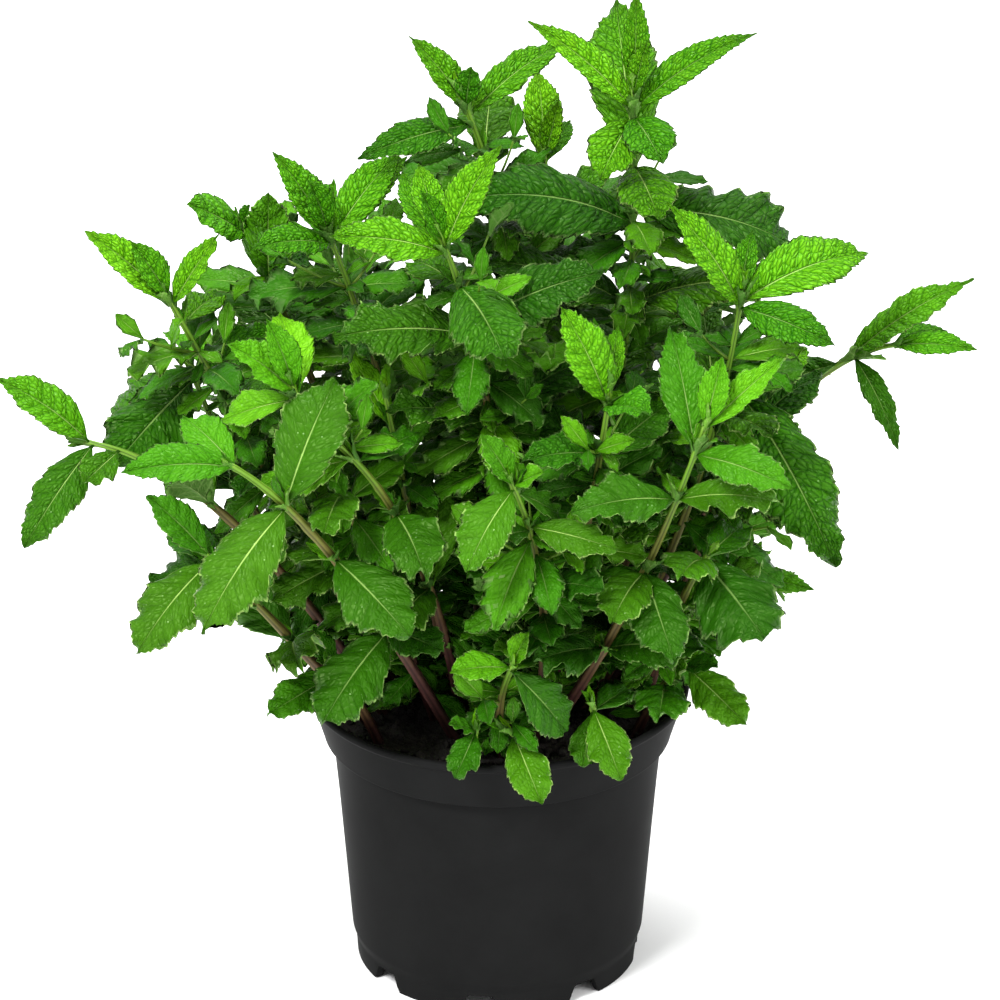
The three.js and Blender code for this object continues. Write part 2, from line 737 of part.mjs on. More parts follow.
// Points that stand for a stem or a leaf, with the ball that holds them.
function cloudOf(points, owner, leaf) {
  const centre = points.reduce((sum, p) => sum.add(p), new THREE.Vector3()).divideScalar(points.length);
  const reach = Math.max(...points.map((p) => p.distanceTo(centre)));
  return { points, owner, leaf, centre, reach };
}

// Whether any point of one cloud is nearer than a gap to any point of another.
function cloudsTouch(a, b, gap) {
  if (a.centre.distanceTo(b.centre) > a.reach + b.reach + gap) return false;
  const near = a.points.filter((p) => p.distanceTo(b.centre) < b.reach + gap);
  return near.some((p) => b.points.some((q) => p.distanceToSquared(q) < gap * gap));
}

// Whether a point is in, or too near to, the pot or the soil.
function inPot(p) {
  const r = Math.hypot(p.x, p.y);
  if (p.z > POT_HEIGHT + POT_CLEARANCE || r > RIM_RADIUS + POT_CLEARANCE) return false;
  const insideWall = r < BAND_FOOT_RADIUS - WALL_THICKNESS - POT_CLEARANCE;
  return !(insideWall && p.z > SOIL_LEVEL + SOIL_HEAP + POT_CLEARANCE);
}

// The ways in which a leaf that grows by rule may be turned or kept smaller to clear what is there, mildest
// first.
const GROWN_NUDGES = [{ turn: 0, spread: 0, size: 1 }];
for (const [step, size] of [
  [12, 1],
  [24, 0.92],
  [36, 0.82],
  [18, 0.66],
]) {
  for (let way = 0; way < 8; way++) {
    const angle = radians(45 * way);
    GROWN_NUDGES.push({ turn: step * Math.cos(angle), spread: -step * Math.sin(angle), size });
  }
}

// The same for a measured leaf, which keeps its look from the front and leans more or less.
const MEASURED_NUDGES = [];
for (const size of [1, 0.9, 0.8, 0.7]) {
  for (const depth of [0, 5, -5, 10, -10, 16, -16, 23, -23, 31, -31]) MEASURED_NUDGES.push({ depth, size });
}

// ---------------------------------------------------------------- the plant

// Settles every stem first, so that leaves can keep clear of them all. A stem that would touch an earlier
// one is bowed away from it.
function settleStems() {
  const clouds = [];
  return SHOOTS.map((shoot) => {
    for (let ring = 0; ring <= 8; ring++) {
      for (let step = 0; step < (ring ? 8 : 1); step++) {
        const angle = radians(45 * step);
        const bend = new THREE.Vector3(Math.cos(angle), Math.sin(angle), 0).multiplyScalar(3 * ring);
        const curve = stemCurve(shoot, bend);
        const cloud = cloudOf(curve.getSpacedPoints(60), shoot.name, false);
        if (clouds.some((other) => cloudsTouch(cloud, other, STEM_CLEARANCE))) continue;
        clouds.push(cloud);
        return { shoot, curve, cloud, length: curve.getLength(), leaves: [] };
      }
    }
    throw new Error(shoot.name + " has no room for its stem");
  });
}

// Sets out the measured leaves of all the stems, and then the ones that grow by rule.
function settleLeaves(stems) {
  const random = seededRandom(SEED);
  const clouds = stems.map((stem) => stem.cloud);
  const clearances = (cloud, other) => {
    if (other.owner !== cloud.owner) return other.leaf ? LEAF_CLEARANCE : LEAF_TO_STEM;
    return other.leaf ? OWN_CLEARANCE : 0;
  };
  const place = (stem, nudges, leafFor) => {
    for (const nudge of nudges) {
      const leaf = leafFor(nudge);
      const cloud = cloudOf(bladeSamples(leaf), stem.shoot.name, true);
      if (cloud.points.some(inPot)) continue;
      if (clouds.some((other) => cloudsTouch(cloud, other, clearances(cloud, other)))) continue;
      clouds.push(cloud);
      stem.leaves.push(leaf);
      return;
    }
  };
  for (const stem of stems) {
    for (const measured of stem.shoot.leaves ?? []) {
      place(stem, MEASURED_NUDGES, (nudge) => measuredLeaf(stem, measured, nudge));
    }
  }
  for (const stem of stems) {
    const [first, last] = stem.shoot.pairs;
    for (let age = first; age < last; age++) {
      for (const half of [0, 180]) {
        const draw = [random(), random(), random()];
        const turn = stem.shoot.turn + 90 * age + half;
        place(stem, GROWN_NUDGES, (nudge) => grownLeaf(stem, age, turn, draw, nudge));
      }
    }
  }
}

const stems = settleStems();
settleLeaves(stems);

// ---------------------------------------------------------------- soil

// The root ball: it fills the pot with a small gap, and its top is a low uneven heap.
function soilBody() {
  const edge = BAND_FOOT_RADIUS - WALL_THICKNESS + 1.6 - FIT_GAP;
  const underside = BASE_TOP + FIT_GAP;
  const random = seededRandom(77);
  const points = [new THREE.Vector3(0, 0, SOIL_LEVEL + SOIL_HEAP)];
  const ring = (radius, heightAt) => {
    const first = points.length;
    for (let i = 0; i < SOIL_SIDES; i++) {
      const angle = (i * 2 * Math.PI) / SOIL_SIDES;
      points.push(new THREE.Vector3(radius * Math.cos(angle), radius * Math.sin(angle), heightAt()));
    }
    return first;
  };
  const top = [0.5, 0.86, 1].map((share) => {
    const heap = SOIL_HEAP * (1 - share) - (share === 1 ? 1.5 : 0);
    return ring(edge * share, () => SOIL_LEVEL + heap + (share < 1 ? 1.4 * (random() - 0.5) : 0));
  });
  const slack = FIT_GAP + 0.3;
  const walls = [
    [BAND_FOOT_RADIUS - WALL_THICKNESS - slack, BAND_FOOT + 2.4],
    [innerWallRadius(BAND_FOOT) - slack, BAND_FOOT - 0.5],
    [innerWallRadius(BASE_TOP) - slack, underside],
  ].map(([radius, z]) => ring(radius, () => z));
  const bottom = points.push(new THREE.Vector3(0, 0, underside)) - 1;
  const loops = [...top, ...walls];
  const triangles = [];
  for (let i = 0; i < SOIL_SIDES; i++) {
    const next = (i + 1) % SOIL_SIDES;
    triangles.push([0, loops[0] + i, loops[0] + next]);
    for (let k = 0; k + 1 < loops.length; k++) {
      const [a, b, c, d] = [loops[k] + i, loops[k] + next, loops[k + 1] + next, loops[k + 1] + i];
      triangles.push([a, d, c], [a, c, b]);
    }
    const last = loops[loops.length - 1];
    triangles.push([bottom, last + next, last + i]);
  }
  return solidOf(closedGeometry(points, triangles));
}

// The soil with a straight hole for each stem's foot.
function makeSoil() {
  let soil = soilBody();
  for (const { curve } of stems) {
    const hole = [buriedEnd(curve, STEM_BURIED + STEM_HOLE_GAP), buriedEnd(curve, -SOIL_HEAP - 3)];
    soil = soil.subtract(solidOf(squareTube(hole, STEM_HOLE_GAP)));
  }
  return soil;
}

// ---------------------------------------------------------------- the object

const materials = {
  pot: new THREE.MeshStandardMaterial({ color: 0x2a2b2b, roughness: 0.45, metalness: 0 }),
  soil: new THREE.MeshStandardMaterial({ color: 0x1c130c, roughness: 1, metalness: 0 }),
  mint: new THREE.MeshStandardMaterial({ color: 0x2f8f1c, roughness: 0.6, metalness: 0 }),
};

const plant = new THREE.Group();

function addMesh(name, solid, material) {
  const mesh = new THREE.Mesh(geometryOf(solid), material);
  mesh.name = name;
  plant.add(mesh);
}

addMesh("pot", makePot(), materials.pot);
addMesh("soil", makeSoil(), materials.soil);
for (const { shoot, curve, leaves } of stems) {
  let solid = solidOf(squareTube(stemStations(curve), 0));
  for (const leaf of leaves) solid = solid.add(solidOf(bladeGeometry(leaf)));
  addMesh("shoot_" + shoot.name, solid, materials.mint);
}

export default plant;
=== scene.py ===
import math

import bpy
import numpy as np
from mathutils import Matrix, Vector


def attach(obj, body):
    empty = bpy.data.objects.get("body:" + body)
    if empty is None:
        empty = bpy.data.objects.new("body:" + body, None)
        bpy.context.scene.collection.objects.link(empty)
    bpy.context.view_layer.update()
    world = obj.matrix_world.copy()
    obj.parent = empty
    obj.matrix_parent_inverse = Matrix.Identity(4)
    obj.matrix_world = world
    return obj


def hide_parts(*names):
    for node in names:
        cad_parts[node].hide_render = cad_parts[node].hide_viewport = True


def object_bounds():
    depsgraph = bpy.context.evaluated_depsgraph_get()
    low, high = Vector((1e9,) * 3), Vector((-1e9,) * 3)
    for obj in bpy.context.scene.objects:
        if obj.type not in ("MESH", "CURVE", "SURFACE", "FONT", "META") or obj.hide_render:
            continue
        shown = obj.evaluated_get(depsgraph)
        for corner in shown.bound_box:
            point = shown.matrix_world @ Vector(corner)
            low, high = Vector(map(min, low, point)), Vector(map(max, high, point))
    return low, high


# A bushy mint plant growing in a black plastic nursery pot, seen from its front and 25 degrees above.
# Lengths of the pieces are in millimetres here, as a gardener would measure them, and become metres
# where a mesh is made.

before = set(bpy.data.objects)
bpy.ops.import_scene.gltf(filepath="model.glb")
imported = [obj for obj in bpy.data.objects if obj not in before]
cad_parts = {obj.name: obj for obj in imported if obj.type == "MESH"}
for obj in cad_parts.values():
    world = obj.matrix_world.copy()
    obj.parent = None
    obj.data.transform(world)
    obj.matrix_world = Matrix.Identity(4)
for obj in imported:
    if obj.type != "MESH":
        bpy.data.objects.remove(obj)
cad_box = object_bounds()


# ---------------------------------------------------------------- the pot
# A 150 mm round nursery pot, moulded in thin black polypropylene. The wall tapers to a foot ring with
# eight notches that let water out, and flares at the top into a plain band with a rolled lip.

RIM_RADIUS = 75.0
POT_HEIGHT = 118.0
BAND_FOOT = 97.0
BAND_FOOT_RADIUS = 68.0
WALL_TOP_RADIUS = 64.6
WALL_FOOT_RADIUS = 57.0
WALL_THICKNESS = 1.5
FOOT_HEIGHT = 9.5
FOOT_RADIUS = 55.6
FOOT_THICKNESS = 3.2
BASE_UNDERSIDE = 10.5
BASE_TOP = 12.1
FOOT_NOTCHES = 8
NOTCH_FIRST_ANGLE = -97.0
NOTCH_HEIGHT = 7.5
NOTCH_HALF_WIDTH = 7.75
NOTCH_SIDE_RUN = 3.0
DRAIN_HOLE_RADIUS = 4.0
DRAIN_HOLE_RING = 43.0
POT_TURNS = 320


def inner_wall_radius(z):
    """The inside of the wall: its radius grows evenly from the foot to the band."""
    share = (z - FOOT_HEIGHT) / (BAND_FOOT - FOOT_HEIGHT)
    return WALL_FOOT_RADIUS + share * (WALL_TOP_RADIUS - WALL_FOOT_RADIUS) - WALL_THICKNESS


def softened(corners, reach, steps=3):
    """A line through corners, each rounded by the parabola that leaves one side and joins the next a
    reach from the corner, or a bit under half way along a shorter side."""
    corners = np.asarray(corners, float)
    before, here, after = corners[:-2], corners[1:-1], corners[2:]
    back, on = before - here, after - here
    lengths = [np.linalg.norm(side, axis=1, keepdims=True) for side in (back, on)]
    start = here + back / lengths[0] * np.minimum(reach, 0.45 * lengths[0])
    end = here + on / lengths[1] * np.minimum(reach, 0.45 * lengths[1])
    t = np.linspace(0, 1, steps + 1)[None, :, None]
    curve = (1 - t) ** 2 * start[:, None] + 2 * t * (1 - t) * here[:, None] + t**2 * end[:, None]
    return np.vstack([corners[:1], curve.reshape(-1, 2), corners[-1:]])


def ring_quads(rows, ring):
    """Quads between each ring of points and the next one along, round the whole ring."""
    row, step = np.meshgrid(np.arange(rows - 1), np.arange(ring), indexing="ij")
    after = (step + 1) % ring
    a, b = row * ring + step, row * ring + after
    return np.stack([a, b, b + ring, a + ring], axis=-1).reshape(-1, 4)


def end_fans(rows, ring, start, end):
    """Triangles that close the first ring on one point and the last ring on another."""
    step = np.arange(ring)
    after = (step + 1) % ring
    last = (rows - 1) * ring
    first_fan = np.stack([after, step, np.full(ring, start)], axis=-1)
    last_fan = np.stack([last + step, last + after, np.full(ring, end)], axis=-1)
    return np.vstack([first_fan, last_fan])


def lay_mesh(name, points, quads, fans, materials, uv=None, material_index=None, values=None):
    """Puts whole arrays into a mesh: points in millimetres, faces of four and of three corners, a UV map
    and named values for each point, and the number of each face's material."""
    mesh = bpy.data.meshes.new(name)
    mesh.vertices.add(len(points))
    mesh.vertices.foreach_set("co", (np.asarray(points) * 0.001).astype(np.float32).ravel())
    corners = np.concatenate([quads.ravel(), fans.ravel()]).astype(np.int32)
    sizes = np.concatenate([np.full(len(quads), 4), np.full(len(fans), 3)])
    starts = np.concatenate([[0], np.cumsum(sizes)[:-1]]).astype(np.int32)
    mesh.loops.add(len(corners))
    mesh.polygons.add(len(sizes))
    mesh.loops.foreach_set("vertex_index", corners)
    mesh.polygons.foreach_set("loop_start", starts)
    mesh.update(calc_edges=True)
    mesh.polygons.foreach_set("use_smooth", np.ones(len(sizes), bool))
    if material_index is not None:
        mesh.polygons.foreach_set("material_index", material_index.astype(np.int32))
    if uv is not None:
        layer = mesh.uv_layers.new(name="surface")
        layer.data.foreach_set("uv", uv[corners].astype(np.float32).ravel())
    for key, value in (values or {}).items():
        attribute = mesh.attributes.new(key, "FLOAT", "POINT")
        attribute.data.foreach_set("value", value.astype(np.float32))
    mesh.validate()
    for material in materials:
        mesh.materials.append(material)
    piece = bpy.data.objects.new(name, mesh)
    bpy.context.scene.collection.objects.link(piece)
    return piece


def turned(profile, turns, height_at=None):
    """A profile of radius and height turned about the pot's axis. height_at may move each point's height,
    given its radius, height and angle."""
    angle = np.arange(turns) * 2 * math.pi / turns
    radius = np.repeat(profile[1:-1, 0][:, None], turns, axis=1)
    height = np.repeat(profile[1:-1, 1][:, None], turns, axis=1)
    around = np.repeat(angle[None, :], len(profile) - 2, axis=0)
    if height_at:
        height = height_at(radius, height, around)
    points = np.stack([radius * np.cos(around), radius * np.sin(around), height], axis=-1).reshape(-1, 3)
    ends = np.array([[0, 0, profile[0, 1]], [0, 0, profile[-1, 1]]])
    rows = len(profile) - 2
    quads = ring_quads(rows, turns)
    fans = end_fans(rows, turns, len(points), len(points) + 1)
    return np.vstack([points, ends]), quads, fans


def notched(radius, height, around):
    """Lifts the foot ring over each notch, whose sides each slope in by their run towards its top."""
    pitch = 2 * math.pi / FOOT_NOTCHES
    off = (around - math.radians(NOTCH_FIRST_ANGLE) + pitch / 2) % pitch - pitch / 2
    share = np.clip((NOTCH_HALF_WIDTH - np.abs(off) * FOOT_RADIUS) / NOTCH_SIDE_RUN, 0, 1)
    in_ring = radius > FOOT_RADIUS - FOOT_THICKNESS - 0.5
    return np.where(in_ring, np.maximum(height, share * NOTCH_HEIGHT), height)


pot_profile = softened(
    [
        (0, BASE_UNDERSIDE),
        (FOOT_RADIUS - FOOT_THICKNESS - 1, BASE_UNDERSIDE),
        (FOOT_RADIUS - FOOT_THICKNESS, 4),
        (FOOT_RADIUS - FOOT_THICKNESS, 0),
        (FOOT_RADIUS - 1.2, 0),
        (FOOT_RADIUS, 0.05),
        (FOOT_RADIUS + 0.5, FOOT_HEIGHT - 1),
        (WALL_FOOT_RADIUS - 0.6, FOOT_HEIGHT + 0.2),
        (WALL_FOOT_RADIUS + 0.5, FOOT_HEIGHT + 3.4),
        (WALL_TOP_RADIUS - 2.4, BAND_FOOT - 26),
        (WALL_TOP_RADIUS, BAND_FOOT),
        (BAND_FOOT_RADIUS, BAND_FOOT),
        (BAND_FOOT_RADIUS + 0.35, BAND_FOOT + 1.6),
        (RIM_RADIUS - 1.7, POT_HEIGHT - 3.4),
        (RIM_RADIUS - 0.1, POT_HEIGHT - 2.4),
        (RIM_RADIUS, POT_HEIGHT - 0.7),
        (RIM_RADIUS - 0.8, POT_HEIGHT),
        (RIM_RADIUS - 2.4, POT_HEIGHT),
        (RIM_RADIUS - 3.4, POT_HEIGHT - 1.6),
        (BAND_FOOT_RADIUS - WALL_THICKNESS, BAND_FOOT + 1.6),
        (inner_wall_radius(BAND_FOOT), BAND_FOOT - 1.5),
        (inner_wall_radius(BASE_TOP), BASE_TOP),
        (0, BASE_TOP),
    ],
    0.9,
)
pot_points, pot_quads, pot_fans = turned(pot_profile, POT_TURNS, notched)


def material(name):
    """A new node material. With it come a maker of nodes, which gives back the output that is asked for,
    and a way to finish its shader. Both link what is another node's output, and set what is a value."""
    made = bpy.data.materials.new(name)
    made.use_nodes = True
    nodes, links = made.node_tree.nodes, made.node_tree.links

    def feed(target, inputs):
        for key, value in inputs.items():
            if isinstance(value, bpy.types.NodeSocket):
                links.new(value, target.inputs[key])
            else:
                target.inputs[key].default_value = value

    def node(kind, output, inputs=None, **settings):
        fresh = nodes.new("ShaderNode" + kind)
        for key, value in settings.items():
            setattr(fresh, key, value)
        feed(fresh, inputs or {})
        return fresh.outputs[output]

    def finish(inputs):
        feed(nodes["Principled BSDF"], inputs)

    return made, node, finish


def ramp(node, factor, stops):
    """A colour ramp through stops of (place, colour)."""
    shown = node("ValToRGB", "Color", {"Fac": factor})
    elements = shown.node.color_ramp.elements
    for element, (place, colour) in zip(elements, (stops[0], stops[-1])):
        element.position, element.color = place, (*colour, 1)
    for place, colour in stops[1:-1]:
        elements.new(place).color = (*colour, 1)
    return shown


# Black polypropylene: satin, with the faint grain of its mould and a faint random mottling of its tone.
POT_TONES = [(0.25, (0.0082, 0.0083, 0.0083)), (0.75, (0.0108, 0.0110, 0.0110))]
pot_plastic, node, finish = material("black_polypropylene")
place = node("TexCoord", "Object")
cloud = node("TexNoise", "Fac", {"Vector": place, "Scale": 38.0, "Detail": 5.0, "Roughness": 0.6})
grain = node("TexNoise", "Fac", {"Vector": place, "Scale": 1500.0, "Detail": 2.0})
finish(
    {
        "Base Color": ramp(node, cloud, POT_TONES),
        "Roughness": node("MapRange", "Result", {"Value": cloud, "To Min": 0.40, "To Max": 0.52}),
        "Normal": node("Bump", "Normal", {"Height": grain, "Strength": 0.12, "Distance": 0.0001}),
        "Specular IOR Level": 0.02,
        "IOR": 1.3,
    }
)

pot = lay_mesh("pot_body", pot_points, pot_quads, pot_fans, [pot_plastic])


def drain_cutters():
    """Eight short round bars on a ring through the base, each closed by a point at both ends."""
    profile = np.array([(0, 5.0), (DRAIN_HOLE_RADIUS, 5.0), (DRAIN_HOLE_RADIUS, 12.0), (0, 12.0)])
    parts = []
    for i in range(FOOT_NOTCHES):
        angle = math.radians(NOTCH_FIRST_ANGLE + 360 * i / FOOT_NOTCHES)
        bar, quads, fans = turned(profile, 24)
        bar = bar + [DRAIN_HOLE_RING * math.cos(angle), DRAIN_HOLE_RING * math.sin(angle), 0]
        parts.append((bar, quads + i * len(bar), fans + i * len(bar)))
    return [np.vstack(column) for column in zip(*parts)]


cutter = lay_mesh("drain_cutter", *drain_cutters(), [pot_plastic])
cut = pot.modifiers.new("drain holes", "BOOLEAN")
cut.object, cut.operation, cut.solver = cutter, "DIFFERENCE", "EXACT"
bpy.context.view_layer.update()
holed = bpy.data.meshes.new_from_object(pot.evaluated_get(bpy.context.evaluated_depsgraph_get()))
pot.modifiers.clear()
pot.data = holed
bpy.data.objects.remove(cutter)
holed.polygons.foreach_set("use_smooth", np.ones(len(holed.polygons), bool))
holed.set_sharp_from_angle(angle=math.radians(38))
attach(pot, "root")
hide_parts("pot")


# ---------------------------------------------------------------- the soil
# Moist peaty potting mix, nearly black, filling the pot to a finger's width below the lip. Its top is a
# low uneven heap of crumbs.

SOIL_LEVEL = 107.0
SOIL_HEAP = 2.4
SOIL_EDGE_DIP = 1.5
FIT_GAP = 0.4
CRUMBS = 900


def ripples(x, y, scale, seed, waves=14):
    """Rough ground: the mean of seeded waves of many directions and wavelengths about a scale."""
    draw = np.random.default_rng(seed)
    way = draw.uniform(0, 2 * math.pi, waves)
    size = 2 * math.pi / (scale * draw.uniform(0.5, 1.6, waves))
    start = draw.uniform(0, 2 * math.pi, waves)
    phase = (x[..., None] * np.cos(way) + y[..., None] * np.sin(way)) * size + start
    return np.sin(phase).sum(axis=-1) / math.sqrt(waves)


def heaped(radius, height, around):
    """The soil's top: a low heap with coarse and fine ripples that fade out over the last 6 mm to the
    pot. Its wall and underside stay as they are."""
    x, y = radius * np.cos(around), radius * np.sin(around)
    rough = 0.9 * ripples(x, y, 16, 5) + 0.5 * ripples(x, y, 5, 6) + 0.25 * ripples(x, y, 2.4, 7)
    edge = np.clip((67.0 - radius) / 6, 0, 1)
    return np.where(height > SOIL_LEVEL - 1.8, height + rough * edge, height)


soil_edge = BAND_FOOT_RADIUS - WALL_THICKNESS + 1.6 - FIT_GAP
top_radii = np.linspace(0, soil_edge, 46)
outward_share = top_radii / soil_edge
top_heights = SOIL_LEVEL + SOIL_HEAP * (1 - outward_share) - SOIL_EDGE_DIP * outward_share**8
top_profile = np.stack([top_radii, top_heights], axis=1)
side_profile = np.array(
    [
        (BAND_FOOT_RADIUS - WALL_THICKNESS - 0.7, BAND_FOOT + 2.4),
        (inner_wall_radius(BAND_FOOT) - 0.7, BAND_FOOT - 0.5),
        (inner_wall_radius(BASE_TOP) - 0.7, BASE_TOP + FIT_GAP),
        (0, BASE_TOP + FIT_GAP),
    ]
)
soil_profile = np.vstack([top_profile, side_profile])[::-1]
soil_points, soil_quads, soil_fans = turned(soil_profile, 160, heaped)

# Potting mix: brown-black, damp, with paler fibres.
PEAT_TONES = [(0.12, (0.004, 0.0028, 0.002)), (0.3, (0.012, 0.008, 0.005)), (0.5, (0.045, 0.030, 0.018))]
peat, node, finish = material("potting_mix")
place = node("TexCoord", "Object")
clods = node("TexVoronoi", "Distance", {"Vector": place, "Scale": 420.0})
fibre = node("TexNoise", "Fac", {"Vector": place, "Scale": 900.0, "Detail": 6.0, "Roughness": 0.7})
patch = node("TexNoise", "Fac", {"Vector": place, "Scale": 90.0, "Detail": 4.0})
mixed = node("Math", "Value", {0: fibre, 1: patch}, operation="MULTIPLY")
lumps = node("Math", "Value", {0: clods, 1: fibre}, operation="ADD")
finish(
    {
        "Base Color": ramp(node, mixed, PEAT_TONES),
        "Roughness": node("MapRange", "Result", {"Value": patch, "To Min": 0.62, "To Max": 0.95}),
        "Normal": node("Bump", "Normal", {"Height": lumps, "Strength": 0.9, "Distance": 0.0012}),
    }
)

soil = lay_mesh("soil_heap", soil_points, soil_quads, soil_fans, [peat])
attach(soil, "root")
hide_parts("soil")


def crumbs(count, seed):
    """Loose crumbs: twenty-sided lumps, each squashed and dented by seeded draws, lying on the heap."""
    draw = np.random.default_rng(seed)
    golden = (1 + math.sqrt(5)) / 2
    lump = np.array(
        [(a * 1.0, b * golden, 0) for a in (-1, 1) for b in (-1, 1)]
        + [(0, a * 1.0, b * golden) for a in (-1, 1) for b in (-1, 1)]
        + [(b * golden, 0, a * 1.0) for a in (-1, 1) for b in (-1, 1)]
    ) / math.hypot(1, golden)
    reach = np.linalg.norm(lump[:, None] - lump[None], axis=-1)
    near = (reach < 1.2) & (reach > 0)
    faces = [
        (i, j, k)
        for i in range(12)
        for j in range(i + 1, 12)
        for k in range(j + 1, 12)
        if near[i, j] and near[j, k] and near[i, k]
    ]
    faces = np.array([f if np.linalg.det(lump[list(f)]) > 0 else (f[0], f[2], f[1]) for f in faces])
    radius = 65 * np.sqrt(draw.uniform(0.02, 1, count))
    around = draw.uniform(0, 2 * math.pi, count)
    size = draw.uniform(0.5, 1.0, (count, 1, 3)) * draw.gamma(4.0, 0.34, (count, 1, 1))
    dented = lump[None] * draw.uniform(0.72, 1.12, (count, 12, 1)) * size
    height = SOIL_LEVEL + SOIL_HEAP * (1 - radius / soil_edge)
    middle = heaped(radius, height, around) + 0.3 * size[:, 0, 2]
    centre = np.stack([radius * np.cos(around), radius * np.sin(around), middle], axis=1)
    points = (dented + centre[:, None]).reshape(-1, 3)
    fans = (faces[None] + 12 * np.arange(count)[:, None, None]).reshape(-1, 3)
    return points, np.empty((0, 4), int), fans


loose = lay_mesh("soil_crumbs", *crumbs(CRUMBS, 11), [peat])
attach(loose, "root")


# ---------------------------------------------------------------- the stems
# Mint stems are square, upright to arching and woody brown-purple at the foot, green at the tip. Each
# grows from its own place in the soil, and the crowd of them is set out here as it is in the solids:
# stems first, bowed clear of each other, and then every leaf where it clears what is there already.

STEM_ROOT_RADIUS = 2.5
STEM_TIP_RADIUS = 1.1
STEM_BURIED = 13.0
JOINT_SWELL, JOINT_REACH = 0.16, 1.8
ARCH_PER_MM = 0.75
FIRST_PAIR_DOWN = 2
PAIR_SPACING = 9
PAIR_SPACING_GROWTH = 3.2
LENGTH_BY_AGE = [0.42, 0.8, 1.0, 1.04, 0.98, 0.9, 0.8]
SPREAD_BY_AGE = [15, 38, 52, 64, 72, 80, 86]
WIDTH_BY_AGE = [0.36, 0.38, 0.42, 0.47, 0.5, 0.52, 0.52]
TURN_TO_LIGHT_BY_AGE = [0.1, 0.2, 0.35, 0.45, 0.5, 0.5, 0.5]
VIEW_RISE = 25
LIGHT = np.array([0, -0.55, 0.85])
SAMPLE_STEP = 4.6
LEAF_CLEARANCE = 4
OWN_CLEARANCE = 1.2
STEM_CLEARANCE = 5.6
LEAF_TO_STEM = 4.2
POT_CLEARANCE = 2.4
SEED = 20611
BLADE_FOLD = math.radians(16)

